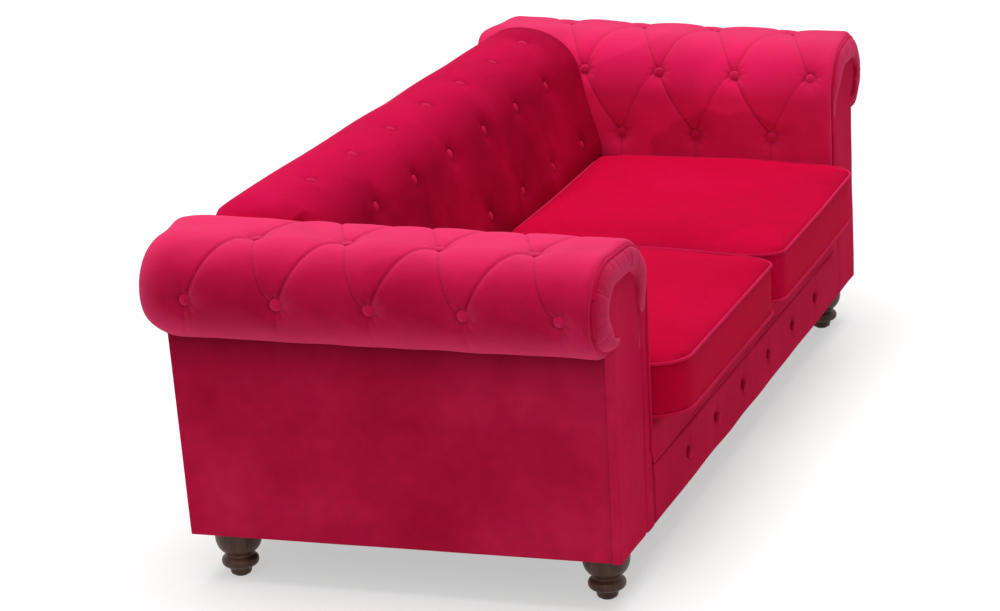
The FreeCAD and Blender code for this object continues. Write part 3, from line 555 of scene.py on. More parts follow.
# nap: share of painted highlight on the arm caps
buttonShape = dict(radius=10.8, dome=4.6, rim=2.6, sink=3.2, fullness=1.15, tip=0.15, sides=28, napAndHighlight=0.3,
                   skirt=((0.55, -4.0), (0.9, 0.6), (1.0, 1.8)))


def buttonCaps(centres, outs):
    # profile turned about the way out: a skirt below the rim, then r = R cos a, z = rim + dome sin(a)^1.15
    radius = buttonShape["radius"]
    a = np.linspace(0, 1, 9) * np.pi / 2
    dome = buttonShape["rim"] + buttonShape["dome"] * np.sin(a) ** buttonShape["fullness"]
    skirt = np.array([(radius * share, z) for share, z in buttonShape["skirt"]])
    profile = np.concatenate([skirt, np.stack([radius * np.cos(a), dome], 1)])
    profile[-1, 0] = buttonShape["tip"]
    angle = np.linspace(0, 2 * np.pi, buttonShape["sides"], endpoint=False)
    centres, outs = np.asarray(centres, float), np.asarray(outs, float)
    helper = np.where(np.abs(outs[:, 0:1]) > 0.8, np.array([[0, 1.0, 0]]), np.array([[1.0, 0, 0]]))
    across = unit(np.cross(outs, helper))
    other = np.cross(outs, across)
    ring = np.cos(angle)[None, :, None] * across[:, None] + np.sin(angle)[None, :, None] * other[:, None]
    points = (centres[:, None, None] + profile[None, :, None, 0:1] * ring[:, None]
              + profile[None, :, None, 1:2] * outs[:, None, None])
    faces = gridFaces(len(profile), len(angle), wrapColumns=True)
    size = len(profile) * len(angle)
    allFaces = (faces[None] + (np.arange(len(centres)) * size)[:, None, None]).reshape(-1, 4)
    return points.reshape(-1, 3), allFaces


def makeArmButtons(side):
    runs, alongs = np.array(armButtons).T
    u, z, outU, outZ = armSection(runs)
    depth = armTuft["rise"] - armTuft["depth"] - armTuft["dimple"] + buttonShape["sink"]
    centres = place(side, u + depth * outU, alongs, z + depth * outZ + armLift(alongs, z, side))
    outs = place(side, outU, 0 * alongs, outZ)
    points, faces = buttonCaps(centres, outs)
    name = sideName(side)
    caps = meshFrom(name + "ArmButtonCaps", points, faces, velvet)
    # painted highlight on the caps
    markPoints(caps, "napAndHighlight", np.full(len(points), buttonShape["napAndHighlight"]))
    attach(caps, "frame")
    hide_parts(name + "_arm_buttons")


bothSides(makeArmButtons)
print("arm buttons made")


# back pad, softer tufts

# line and ring: strength of the painted shade along folds and round buttons
backTuft = dict(pitch=200.0, lowZ=448.0, midTurn=-73.0, topTurn=-20.0, rise=4.0, width=46.0, lip=0.0,
                line=0.0, dimple=9.5, size=25.0, pucker=0.7, depth=0.9, bend=1.25, ring=0.3, step=3.6,
                halfWidth=740.0, uneven=1.2, unevenSize=260.0, bulge=12.0, bulgeBlend=70.0, sink=-1.5,
                inset=40.0, endInset=112.0, insetRows=40)
# ends of the back: their reach over the arms, their rounding, the seam that shows above the left arm, painted
# highlight over the roll that is less near the right end, and painted shade at the right end
backEnds = dict(reachRight=2.0, reachLeft=74.0, rearReach=16.0, rearFrom=20.0, rearTo=120.0, tuck=9.0,
                roundLeft=44.0, roundRight=10.0, clearLow=612.0, clearHigh=662.0, seam=1.4, seamWidth=3.0,
                napAndHighlight=0.55, highlightLess=0.5, highlightWidth=120.0, shade=0.4, shadeWidth=50.0)
topRun = backRollStart + (math.pi / 2 - rake) * sofa["backRadius"]
lowRun = footLength + (backTuft["lowZ"] - kneeZ) / math.cos(rake)
midRun = topRun + math.radians(backTuft["midTurn"]) * sofa["backRadius"]
highRun = topRun + math.radians(backTuft["topTurn"]) * sofa["backRadius"]
backWide = [(i - 3) * backTuft["pitch"] for i in range(7)]
backBetween = [(i - 2.5) * backTuft["pitch"] for i in range(6)]
backButtons = [(lowRun, x) for x in backWide] + [(midRun, x) for x in backBetween]
backButtons += [(highRun, x) for x in backWide]


def backBulge(run):  # stuffing stands fuller on the face than over the roll
    above = smoothStep(footLength, footLength + backTuft["bulgeBlend"], run)
    return backTuft["bulge"] * above * smoothStep(topRun, midRun, run)


def backFolds():  # as armFolds
    deep, bend, step = backTuft["depth"], backTuft["bend"], backTuft["pitch"] / 2
    curves = []
    for x in backBetween:
        for side in (-step, step):
            curves.append(foldCurve(midRun, x, lowRun, x + side, bend, deep))
            curves.append(foldCurve(midRun, x, highRun, x + side, bend, deep))
    for x in backWide:
        curves.append(foldCurve(lowRun, x, footLength * 0.6, x, 1.0, deep * 0.8, deep * 0.3))
        curves.append(foldCurve(highRun, x, backLength - 20, x, 1.0, deep * 0.8, deep * 0.4))
    return curves


def armEdge(z, reach):  # where the inside of an arm is at this height
    rise = np.clip((z - shoulderZ) / sofa["shoulder"], 0, 1)
    edge = shoulderX - sofa["shoulder"] * np.sqrt(1 - rise ** 2)
    return np.minimum(edge, sofa["innerX"] + reach) + backEnds["tuck"]


def makeBackPad():
    # section point + tuft height along its way out; two coarser sections, set in, close inside and ends
    runs = np.linspace(0, backLength, int(backLength / backTuft["step"]))
    share = np.linspace(-1, 1, int(2 * backTuft["halfWidth"] / backTuft["step"]))
    y, z, outY, outZ = backSection(runs)
    overRoll = smoothStep(topRun - backEnds["rearFrom"], topRun + backEnds["rearTo"], runs)
    reach = backEnds["reachRight"] + backEnds["rearReach"] * overRoll
    leftEnd, rightEnd = armEdge(z, backEnds["reachLeft"]), armEdge(z, reach)
    ends = np.where(share[None] < 0, leftEnd[:, None], rightEnd[:, None])
    run2, x2 = runs[:, None] + 0 * share[None], ends * share[None]
    height, paintedShade = tuftHeight(run2, x2, backFolds(), backButtons, backTuft)
    height += backTuft["uneven"] * wobble(run2, x2, 11, backTuft["unevenSize"]) + backBulge(run2)
    fromEnd = ends - np.abs(x2)
    clear = smoothStep(backEnds["clearLow"], backEnds["clearHigh"], z)[:, None]  # 1 above the left arm
    height -= np.where(x2 < 0, clear * roundedEnd(fromEnd, backEnds["roundLeft"]),
                       roundedEnd(fromEnd, backEnds["roundRight"]))
    seamGap = np.abs(fromEnd - backEnds["roundLeft"])
    height -= backEnds["seam"] * clear * np.exp(-seamGap / backEnds["seamWidth"]) * (x2 < 0)
    # painted highlight over the roll, less near the right end, and painted shade at the right end against the
    # arm
    napAndHighlight = backEnds["napAndHighlight"] * smoothStep(midRun, topRun, run2)
    napAndHighlight = napAndHighlight * (1 - backEnds["highlightLess"] * np.exp(-fromEnd / backEnds["highlightWidth"]) * (x2 > 0))
    paintedShade = paintedShade + backEnds["shade"] * np.exp(-fromEnd / backEnds["shadeWidth"]) * (x2 > 0)
    outer = np.stack([x2, y[:, None] + height * outY[:, None], z[:, None] + height * outZ[:, None]], -1)
    rows = backTuft["insetRows"]
    cy, cz, cOutY, cOutZ = (values[:, None] for values in backSection(np.linspace(backLength, 0, rows)))
    cx = ends[np.round(np.linspace(len(runs) - 1, 0, rows)).astype(int)] * share[None]
    inner, deep = (np.stack([cx, cy - inset * cOutY + 0 * cx, cz - inset * cOutZ + 0 * cx], -1)
                   for inset in (backTuft["inset"], backTuft["endInset"]))
    pad = gridPiece("backPadTufted", closePad(outer, inner, deep), velvetBack, wrapRows=True, flip=True,
                    paintedShade=paintedShade, napAndHighlight=napAndHighlight)
    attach(pad, "frame")
    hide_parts("back_pad")
    runsB, alongs = np.array(backButtons).T
    by, bz, bOutY, bOutZ = backSection(runsB)
    depth = backTuft["rise"] - backTuft["depth"] - backTuft["dimple"] + backTuft["sink"] + backBulge(runsB)
    centres = np.stack([alongs, by + depth * bOutY, bz + depth * bOutZ], 1)
    points, faces = buttonCaps(centres, np.stack([0 * alongs, bOutY, bOutZ], 1))
    caps = meshFrom("backButtonCaps", points, faces, piping)
    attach(caps, "frame")
    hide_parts("back_buttons")


makeBackPad()
print("back made")


# arm fronts: piping, gathered pleats, flat facing with its inner strip

armFront = dict(pipingRadius=3.8, pipingInset=7.5, bandInset=8.0, bandDown=110.0, bandStart=36.0, bandTop=8.0,
                bandRoll=8.0, bandTaper=32.0, bandDepth=15.0, bandLow=0.42, fullness=0.75, bandRise=130.0,
                openFrom=30.0, openTo=80.0, rollBlend=100.0, taperFrom=120.0, taperTo=20.0, bandTail=30.0,
                pastRoll=32.0, groups=9, gatherWidth=0.0038, gatherDepth=0.24,
                gatherShade=0.35, facingEdge=10.0, facingTop=30.0, facingRoll=54.0,
                facingY=sofa["frontY"] - 1.0, facingOut=1.2, facingBack=sofa["frontY"] + 14.0,
                cornerRound=9.0, edgeRound=5.0, stripEnd=230.0)
# seam between the inner strip of the facing and its face, a valley that sways a little, with painted shade
# along it higher up
facingSeam = dict(u=742.0, sway=4.0, swayLength=70.0, shift=8.0, shiftFrom=480.0, shiftTo=560.0, sharp=1.6,
                  sharpWidth=2.2, soft=1.4, softWidth=9.0, strip=1.4, stripBlend=6.0, uneven=0.9,
                  unevenSize=130.0, shade=0.3, shadeWidth=2.0, shadeFrom=330.0, shadeTo=480.0)
bandFirst = insideLength - armFront["bandDown"]
bandLast = armLength + armFront["pastRoll"]


def makeArmPiping(side):
    # tube along the section, set in from the pad and carried on down beside the border
    runs = np.linspace(0, armLength, 220)
    u, z, outU, outZ = armSection(runs)
    inset = armFront["pipingInset"]
    along = padFront - 0.5 + frontRecede(runs)
    path = place(side, u - inset * outU, along, z - inset * outZ + armLift(along, z, side))
    below = np.linspace(armFront["stripEnd"], z[0] - 4, 6)
    path = np.concatenate([place(side, u[0] + inset, along[0], below), path])
    name = sideName(side)
    tube = gridPiece(name + "ArmPiping", tubeAlong(path, armFront["pipingRadius"]), piping, wrapColumns=True,
                     flip=side > 0)
    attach(tube, "frame")
    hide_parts(name + "_arm_piping")


def bandGathers(share, fromOuter):
    # groups of three short creases that start at the piping: exp(-gap / width), fading inwards
    rng = np.random.default_rng(3)
    centres = np.linspace(0.1, 0.96, armFront["groups"]) + rng.uniform(-0.02, 0.02, armFront["groups"])
    marks = (centres[:, None] + rng.uniform(-0.024, 0.024, (armFront["groups"], 3))).ravel()
    total = np.zeros((len(share), len(fromOuter)))
    for mark in marks:
        lean, amount, reach = rng.uniform(-0.015, 0.015), rng.uniform(0.35, 1.0), rng.uniform(0.35, 0.9)
        gap = np.abs(share[:, None] - mark - lean * fromOuter[None])
        fade = np.clip(1 - fromOuter[None] / reach, 0, 1) ** 0.6
        total = np.maximum(total, amount * fade * np.exp(-gap / armFront["gatherWidth"]))
    return total


def makePleats(side):
    # puffed band: depth as sin(a)^0.75 across, from the piping to the facing, with a rounded lower end
    runs = np.linspace(bandFirst, bandLast, 560)
    u, z, outU, outZ = armSection(np.minimum(runs, armLength))
    u = u - np.maximum(runs - armLength, 0)
    across = np.linspace(0, np.pi, 29)
    fromOuter = (1 - np.cos(across)) / 2
    opening = smoothStep(insideLength - armFront["openFrom"], insideLength + armFront["openTo"], runs)
    ending = np.sqrt(np.clip((bandLast - runs) / armFront["bandTail"], 0, 1))
    starting = smoothStep(bandFirst, bandFirst + armFront["bandRise"], runs)
    taper = smoothStep(bandLast - armFront["taperFrom"], bandLast - armFront["taperTo"], runs)
    width = (armFront["bandStart"] + armFront["bandTop"] * opening
             + armFront["bandRoll"] * smoothStep(rollStart, rollStart + armFront["rollBlend"], runs)
             - armFront["bandTaper"] * taper)
    gathers = bandGathers((runs - bandFirst) / (bandLast - bandFirst), fromOuter)
    radial = armFront["bandInset"] + width[:, None] / 2 * (1 - ending[:, None] * np.cos(across)[None])
    opened = armFront["bandLow"] + (1 - armFront["bandLow"]) * opening
    puff = armFront["bandDepth"] * opened * starting * ending
    bulge = puff[:, None] * np.sin(across)[None] ** armFront["fullness"]
    bulge = bulge * (1 - armFront["gatherDepth"] * gathers)
    outerY = padFront + 2 + frontRecede(runs)[:, None]
    along = outerY + (sofa["frontY"] + 1 - outerY) * fromOuter[None] - bulge
    points = place(side, u[:, None] - radial * outU[:, None], along,
                   z[:, None] - radial * outZ[:, None] + armLift(along, z[:, None], side))
    name = sideName(side)
    # painted shade in the gathers
    band = gridPiece(name + "FacingPleats", points, velvet, flip=side > 0,
                     paintedShade=armFront["gatherShade"] * gathers ** 2)
    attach(band, "frame")
    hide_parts(name + "_facing_pleats")


def scrollOutline(topZ, count, edge, rollInset, corner):
    # rows in z, closer towards the top: left follows the shoulder, right the scroll or the outer corner
    z = sofa["floorGap"] + (topZ - sofa["floorGap"]) * np.sin(np.linspace(0, 1, count) * np.pi / 2) ** 0.9
    reach = sofa["shoulder"] - edge
    rise = np.clip((z - shoulderZ) / reach, 0, 1)
    left = shoulderX - reach * np.sqrt(1 - rise ** 2)
    radius = sofa["rollRadius"] - rollInset
    onRoll = np.sqrt(np.clip(radius ** 2 - (z - rollZ) ** 2, 0, None))
    return z, left, np.where(z > rollZ - radius, sofa["rollX"] + onRoll, sofa["outerX"] + corner)


def makeFacing(side):
    # each row goes from the piping to the outer corner or in under the pleats, and y falls in along the seam
    z, left, right = scrollOutline(sofa["armTop"] - armFront["facingTop"], 130, armFront["facingEdge"],
                                   armFront["facingRoll"], armFront["facingOut"])
    aboveStrip = smoothStep(armFront["stripEnd"] - 10, armFront["stripEnd"] + 10, z)
    left = np.where(z < shoulderZ, sofa["innerX"] + armFront["facingEdge"] * aboveStrip - 0.5, left)
    t = (1 - np.cos(np.linspace(0, np.pi, 80))) / 2
    u = left[:, None] + (right - left)[:, None] * t[None]
    z2 = z[:, None] + 0 * u
    seam = facingSeam
    seamU = seam["u"] + seam["sway"] * np.sin(z2 / seam["swayLength"])
    seamU = seamU + seam["shift"] * smoothStep(seam["shiftFrom"], seam["shiftTo"], z2)
    gap = np.abs(u - seamU)
    strip = seam["strip"] * smoothStep(0, seam["stripBlend"], seamU - u)
    valley = seam["sharp"] * np.exp(-gap / seam["sharpWidth"])
    valley = valley + seam["soft"] * np.exp(-gap / seam["softWidth"])
    y = armFront["facingY"] + valley - strip + seam["uneven"] * wobble(u, z2, 21, seam["unevenSize"])
    y = y + roundedEnd(right[:, None] - u, armFront["cornerRound"])
    y = y + roundedEnd(u - left[:, None], armFront["edgeRound"])
    points = place(side, u, y, z2 + armLift(y, z2, side))
    points = turnBack(points, armFront["facingBack"], 1)
    name = sideName(side)
    # painted shade along the seam, from the middle height up
    shade = seam["shade"] * np.exp(-(gap / seam["shadeWidth"]) ** 2)
    shade = shade * smoothStep(seam["shadeFrom"], seam["shadeTo"], z2)
    panel = gridPiece(name + "ArmFacing", points, velvetPlain, flip=side < 0, paintedShade=shade)
    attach(panel, "frame")
    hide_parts(name + "_arm_facing")


bothSides(makeArmPiping)
bothSides(makePleats)
bothSides(makeFacing)
print("arm fronts made")


# plain cloth panels over boards, edges turned in

panelUneven, panelUnevenSize = 0.5, 240.0


def panelGrid(width, height, nu, nv, turn, puff, seed):
    # flat panel with rounded turned edges: depth falls as a quarter round within turn of an edge
    s = np.concatenate([np.linspace(0, turn, 6), np.linspace(turn, width - turn, nu)[1:-1],
                        np.linspace(width - turn, width, 6)])
    t = np.concatenate([np.linspace(0, turn, 6), np.linspace(turn, height - turn, nv)[1:-1],
                        np.linspace(height - turn, height, 6)])
    a, b = np.meshgrid(s, t, indexing="ij")
    fall = roundedEnd(np.minimum(a, width - a), turn) + roundedEnd(np.minimum(b, height - b), turn)
    dome = np.maximum(np.sin(np.pi * a / width) * np.sin(np.pi * b / height), 0)
    swell = puff * dome ** 0.6
    return a, b, swell - np.minimum(fall, turn) + panelUneven * wobble(a, b, seed, panelUnevenSize)


# shade is painted shadow under the scroll, corner is painted shade along the front edge
outerCover = dict(above=40.0, behind=7.0, sag=5.0, turn=3.5, puff=1.6, shade=0.68, shadeFrom=36.0,
                  shadeWidth=42.0, corner=0.4, cornerWidth=9.0)


def makeOuterCover(side):
    # panel on the side of the arm, stretched to the leaning rear, its foot a little lower at the rear
    depth = sofa["rearY"] - sofa["frontY"]
    height = sofa["panelTop"] + outerCover["above"] - sofa["floorGap"]
    a, b, out = panelGrid(depth, height, 90, 44, outerCover["turn"], outerCover["puff"], 31)
    stretch = (rearPlane(sofa["floorGap"] + b, side) - sofa["frontY"]) / depth
    y = sofa["frontY"] + outerCover["behind"] + a * (stretch - outerCover["behind"] / depth)
    z = sofa["floorGap"] + b - outerCover["sag"] * (a / depth) * (1 - b / height)
    points = place(side, sofa["outerX"] + out, y, z)
    # painted shadow under the scroll and painted shade along the front edge
    fromTop = np.maximum(height - outerCover["shadeFrom"] - b, 0)
    shade = np.maximum(outerCover["shade"] * np.exp(-fromTop / outerCover["shadeWidth"]),
                       outerCover["corner"] * np.exp(-a / outerCover["cornerWidth"]))
    name = sideName(side)
    cover = gridPiece(name + "ArmOuterCover", points, velvetPlain, flip=side < 0, paintedShade=shade)
    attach(cover, "frame")
    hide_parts(name + "_arm_outer_cover")


rearFacing = dict(edge=3.0, inset=24.0, corner=-1.0, peak=12.0, peakOut=6.0, peakSlope=3.0, sunk=3.0,
                  puff=4.5, puffWidth=7.0)


def makeRearFacing(side):
    # cut to the scroll, with a peak under the shoulder where the pad stands higher; swells as 1 - exp(-d / 7)
    topZ = sofa["armTop"] - rearFacing["peak"]
    z, left, right = scrollOutline(topZ, 90, rearFacing["edge"], rearFacing["inset"], rearFacing["corner"])
    over = z - (sofa["armTop"] - rearFacing["inset"])
    right = np.where(over > 0, shoulderX + rearFacing["peakOut"] - rearFacing["peakSlope"] * over, right)
    t = np.linspace(0, 1, 44)
    u = left[:, None] + (right - left)[:, None] * t[None]
    edge = np.minimum(u - left[:, None], right[:, None] - u)
    swelled = rearFacing["puff"] * (1 - np.exp(-edge / rearFacing["puffWidth"]))
    y = rearPlane(z, side)[:, None] - rearFacing["sunk"] + swelled
    points = place(side, u, y, z[:, None] + armLift(y, z[:, None] + 0 * u, side))
    name = sideName(side)
    panel = gridPiece(name + "ArmRearFacing", points, velvetPlain, flip=side > 0)
    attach(panel, "frame")
    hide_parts(name + "_arm_rear_facing")


outsideBack = dict(wider=14.0, topZ=540.0, turn=3.5, puff=2.0, sunk=0.5)


def makeOutsideBack():
    # flat panel between the arms
    width = 2 * sofa["innerX"] + outsideBack["wider"]
    height = outsideBack["topZ"] - sofa["floorGap"]
    a, b, out = panelGrid(width, height, 150, 46, outsideBack["turn"], outsideBack["puff"], 37)
    points = np.stack([a - width / 2, sofa["rearY"] - outsideBack["sunk"] + out, sofa["floorGap"] + b], -1)
    cover = gridPiece("outsideBackCover", points, velvetPlain, flip=True)
    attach(cover, "frame")
    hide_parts("outside_back_cover")


bothSides(makeOuterCover)
bothSides(makeRearFacing)
makeOutsideBack()
print("covers made")


# front border with buttons, its welt and the lip under the cushions

border = dict(y=-378.0, pitch=198.0, shift=14.0, count=6, buttonZ=156.0, wider=0.5, edge=10.0, lowRound=6.0,
              highRound=8.0, thick=18.0, uneven=1.0, unevenSize=160.0, buttonIn=1.0, weltIn=4.0, weltUp=2.0,
              weltRadius=3.0, weltSway=0.6, weltSwayLength=90.0)
borderTuft = dict(rise=0.0, width=12.0, lip=0.0, dimple=5.0, size=13.0, pucker=0.9, depth=2.6, line=0.0,
                  ring=0.15)
seatLip = dict(y=-375.5, back=-330.0, radius=22.0, above=3.0, sway=1.5, swaySize=190.0, swayDepth=4.0)


def makeBorder():
    # upright pad whose y is the tuft height over its length and height; the welt is a tube along its top
    halfWidth = sofa["innerX"] + border["wider"]
    x = np.linspace(-halfWidth, halfWidth, 420)
    h = sofa["borderTop"] - sofa["floorGap"]
    edge = border["edge"]
    t = np.concatenate([np.linspace(0, edge, 8), np.linspace(edge, h - edge, 40)[1:-1],
                        np.linspace(h - edge, h, 8)])
    xs, up = np.meshgrid(x, t, indexing="ij")
    middle = (border["count"] - 1) / 2
    spots = [((i - middle) * border["pitch"] + border["shift"], border["buttonZ"] - sofa["floorGap"])
             for i in range(border["count"])]
    folds = [foldCurve(s, b, s + 3, h - 4, 1.0, 2.6, 0.8) for s, b in spots]
    folds += [foldCurve(s, b, s - 4, 8, 1.0, 2.0, 0.4) for s, b in spots]
    height = tuftHeight(xs, up, folds, spots, borderTuft)[0]
    height += border["uneven"] * wobble(xs, up, 41, border["unevenSize"])
    height -= roundedEnd(up, border["lowRound"]) + roundedEnd(h - up, border["highRound"])
    points = np.stack([xs, border["y"] - height, sofa["floorGap"] + up], -1)
    for axis in (1, 0):
        points = turnBack(points, border["y"] + border["thick"], axis)
    pad = gridPiece("frontBorderPad", points, velvetPlain, flip=True)
    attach(pad, "frame")
    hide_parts("front_border_pad")
    centres = [(s, border["y"] + border["buttonIn"], sofa["floorGap"] + b) for s, b in spots]
    capPoints, faces = buttonCaps(centres, [(0, -1, 0)] * len(spots))
    caps = meshFrom("frontBorderButtonCaps", capPoints, faces, piping)
    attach(caps, "frame")
    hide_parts("front_border_buttons")
    sway = border["weltSway"] * np.sin(x / border["weltSwayLength"])
    weltZ = sofa["borderTop"] + border["weltUp"] + sway
    line = np.stack([x, border["y"] + border["weltIn"] + 0 * x, weltZ], 1)
    welt = gridPiece("frontBorderWelt", tubeAlong(line, border["weltRadius"]), piping, wrapColumns=True)
    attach(welt, "frame")
    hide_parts("front_border_welt")
    # lip profile: up the front, quarter round, back along the deck
    radius = seatLip["radius"]
    turn = np.linspace(0, np.pi / 2, 12)
    rise = np.linspace(sofa["borderTop"] + seatLip["above"], sofa["deckTop"] - radius, 12)
    ly = np.concatenate([seatLip["y"] + 0 * rise, seatLip["y"] + radius - radius * np.cos(turn)[1:],
                         [seatLip["back"]]])
    lz = np.concatenate([rise, sofa["deckTop"] - radius + radius * np.sin(turn)[1:], [sofa["deckTop"]]])
    sway = seatLip["sway"] * wobble(x[:, None], lz[None], 43, seatLip["swaySize"])
    swayed = ly[None] - sway * (ly[None] < seatLip["y"] + seatLip["swayDepth"])
    points = np.stack([x[:, None] + 0 * sway, swayed, lz[None] + 0 * sway], -1)
    lip = gridPiece("seatLipPad", turnBack(points, seatLip["back"], 0), velvetPlain, flip=True)
    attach(lip, "frame")
    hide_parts("seat_lip")


makeBorder()
print("front border made")


# loose seat cushions: panels swell between pinned seams

cushion = dict(inX=4.5, outX=695.0, front=-429.0, rear=134.0, low=294.0, high=389.0, rise=9.0, riseFrom=20.0,
               riseTo=260.0, frontRound=76.0, rearRound=70.0, innerCut=0.75, step=9.0, crown=16.0,
               crownWidth=30.0, lowSag=6.0, wallRows=13, cap=0.026, pipingRadius=3.0, frames=20,
               seamShade=0.3, shadeWidth=26.0, farLift=6.0)
# cotton velvet over a full core: it stretches little and bends easily
seatCloth = dict(quality=6, mass=0.4, tension_stiffness=12, compression_stiffness=12, shear_stiffness=6,
                 bending_stiffness=2.0, use_pressure=True, uniform_pressure_force=4.0,
                 vertex_group_mass="seams")


def cushionOutline():
    # rows in y, each as wide as the rounded corners allow: x from a circle near the ends
    length = cushion["rear"] - cushion["front"]
    rows = int(length / cushion["step"])
    near = cushion["frontRound"] * (1 - np.cos(np.linspace(0, np.pi / 2, 12)))
    far = length - cushion["rearRound"] * (1 - np.cos(np.linspace(np.pi / 2, 0, 12)))
    mid = np.linspace(near[-1], far[0], rows)[1:-1]
    d = np.concatenate([near, mid, far])
    cut = roundedEnd(d, cushion["frontRound"]) + roundedEnd(length - d, cushion["rearRound"])
    columns = int((cushion["outX"] - cushion["inX"]) / cushion["step"])
    t = (1 - np.cos(np.linspace(0, np.pi, columns))) / 2
    t = 0.35 * t + 0.65 * np.linspace(0, 1, columns)
    x0, x1 = cushion["inX"] + cut * cushion["innerCut"], cushion["outX"] - cut
    x = x0[:, None] + (x1 - x0)[:, None] * t[None]
    return x, (cushion["front"] + d)[:, None] + 0 * x


def buildCushion():
    # top and bottom grids joined by a wall along the outline: top = seam + crown (1 - exp(-d / 30))
    x, y = cushionOutline()
    rows, columns = x.shape
    index = np.arange(rows * columns).reshape(rows, columns)
    loop = np.concatenate([index[0, :], index[1:, -1], index[-1, -2::-1], index[-2:0:-1, 0]])
    row, column = np.indices(x.shape)
    inside = np.minimum(np.minimum(row, rows - 1 - row), np.minimum(column, columns - 1 - column))
    crown = cushion["crown"] * (1 - np.exp(-inside * cushion["step"] / cushion["crownWidth"]))
    rearward = smoothStep(cushion["front"] + cushion["riseFrom"], cushion["front"] + cushion["riseTo"], y)
    top = np.stack([x, y, cushion["high"] + cushion["rise"] * rearward + crown], -1).reshape(-1, 3)
    bottom = np.stack([x, y, cushion["low"] - cushion["lowSag"] * (1 - np.exp(-inside))], -1).reshape(-1, 3)
    levels = np.linspace(0, 1, cushion["wallRows"])[1:-1]
    ring = top[loop]
    walls = np.stack([ring[:, 0][None] + 0 * levels[:, None], ring[:, 1][None] + 0 * levels[:, None],
                      ring[:, 2][None] + (cushion["low"] - ring[:, 2][None]) * levels[:, None]], -1)
    count = len(top)
    topFaces = gridFaces(rows, columns)[:, ::-1]
    lowFaces = gridFaces(rows, columns) + count
    between = 2 * count + np.arange(walls.shape[0] * len(loop)).reshape(-1, len(loop))
    stack = np.concatenate([loop[None], between, (loop + count)[None]], 0)
    wrapped = np.hstack([stack, stack[:, :1]])
    quads = [wrapped[1:, :-1], wrapped[1:, 1:], wrapped[:-1, 1:], wrapped[:-1, :-1]]
    wallFaces = np.stack(quads, -1).reshape(-1, 4)
    points = np.concatenate([top, bottom, walls.reshape(-1, 3)])
    faces = np.concatenate([topFaces, lowFaces, wallFaces])
    obj = meshFrom("rightCushion", points, faces, velvetSeat)
    # painted shade on the top just inside the seams
    shade = np.zeros(len(points))
    nearSeam = np.exp(-(inside * cushion["step"] / cushion["shadeWidth"]) ** 2)
    shade[:count] = cushion["seamShade"] * nearSeam.ravel()
    markPoints(obj, "paintedShade", shade)
    pins = np.concatenate([loop, loop + count, count + index[1:-1, 1:-1].ravel()])
    return obj, pins, points[loop], points[loop + count]


def swell(obj, pins):
    group = obj.vertex_groups.new(name="seams")
    group.add([int(i) for i in pins], 1.0, "REPLACE")
    cloth = obj.modifiers.new("swell", "CLOTH")
    for key, value in seatCloth.items():
        setattr(cloth.settings, key, value)
    cloth.settings.effector_weights.gravity = 0
    cloth.collision_settings.use_collision = False
    cloth.point_cache.frame_end = cushion["frames"]
    before = np.empty(len(obj.data.vertices) * 3)
    obj.data.vertices.foreach_get("co", before)
    for number in range(1, cushion["frames"] + 1):
        scene.frame_set(number)
    view = bpy.context.evaluated_depsgraph_get()
    after = np.empty(len(before))
    obj.evaluated_get(view).data.vertices.foreach_get("co", after)
    obj.modifiers.remove(cloth)
    scene.frame_set(1)
    move = (after - before).reshape(-1, 3)
    far = np.linalg.norm(move, axis=1)[:, None]
    move *= np.minimum(1, cushion["cap"] / np.maximum(far, 1e-9))
    obj.data.vertices.foreach_set("co", (before.reshape(-1, 3) + move).ravel())
    obj.data.update()
    print("cushion swelled by", round(float(far.max() * 1000), 1), "mm at most")


def cushionPiping(name, loops):
    tubes = [tubeAlong(loop + grow, cushion["pipingRadius"], closed=True) for loop, grow in loops]
    size = tubes[0].shape[0] * tubes[0].shape[1]
    faces = gridFaces(tubes[0].shape[0], tubes[0].shape[1], True, True)
    return meshFrom(name, np.concatenate([t.reshape(-1, 3) for t in tubes]),
                    np.concatenate([faces, faces + size]), piping)


def makeCushions():
    right, pins, topLoop, lowLoop = buildCushion()
    swell(right, pins)
    centre = np.array([(cushion["inX"] + cushion["outX"]) / 2, (cushion["front"] + cushion["rear"]) / 2, 0])
    half = np.array([(cushion["outX"] - cushion["inX"]) / 2, (cushion["rear"] - cushion["front"]) / 2, 1])

    def outward(loop):
        # up to a millimetre away from the middle: sign(d) |d|^6, d from -1 to 1 across the cushion
        off = (loop - centre) / half
        grow = np.sign(off) * np.abs(off) ** 6
        grow[:, 2] = 0
        return grow

    rightPiping = cushionPiping("rightCushionPiping", [(loop, outward(loop)) for loop in (topLoop, lowLoop)])
    pairs = [(right, rightPiping, "right")]
    pairs.append((mirrorPiece(right, "leftCushion"), mirrorPiece(rightPiping, "leftCushionPiping"), "left"))
    raiseOuter(right)
    raiseOuter(rightPiping)
    for body, edge, name in pairs:
        for piece, node in ((body, "_cushion_cover"), (edge, "_cushion_piping")):
            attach(piece, name + "_cushion")
            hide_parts(name + node)


def raiseOuter(obj):  # right cushion sits a little higher against its arm
    points = np.empty(len(obj.data.vertices) * 3)
    obj.data.vertices.foreach_get("co", points)
    points = points.reshape(-1, 3)
    points[:, 2] += 0.001 * cushion["farLift"] * smoothStep(0.3, 0.69, points[:, 0])
    obj.data.vertices.foreach_set("co", points.ravel())
    obj.data.update()


def mirrorPiece(obj, name):
    mesh = obj.data.copy()
    mesh.name = name
    mesh.transform(Matrix.Scale(-1, 4, (1, 0, 0)))
    mesh.flip_normals()
    return addObject(name, mesh)


makeCushions()
print("cushions made")


# turned feet: profile of radius against height, turned about its own axis

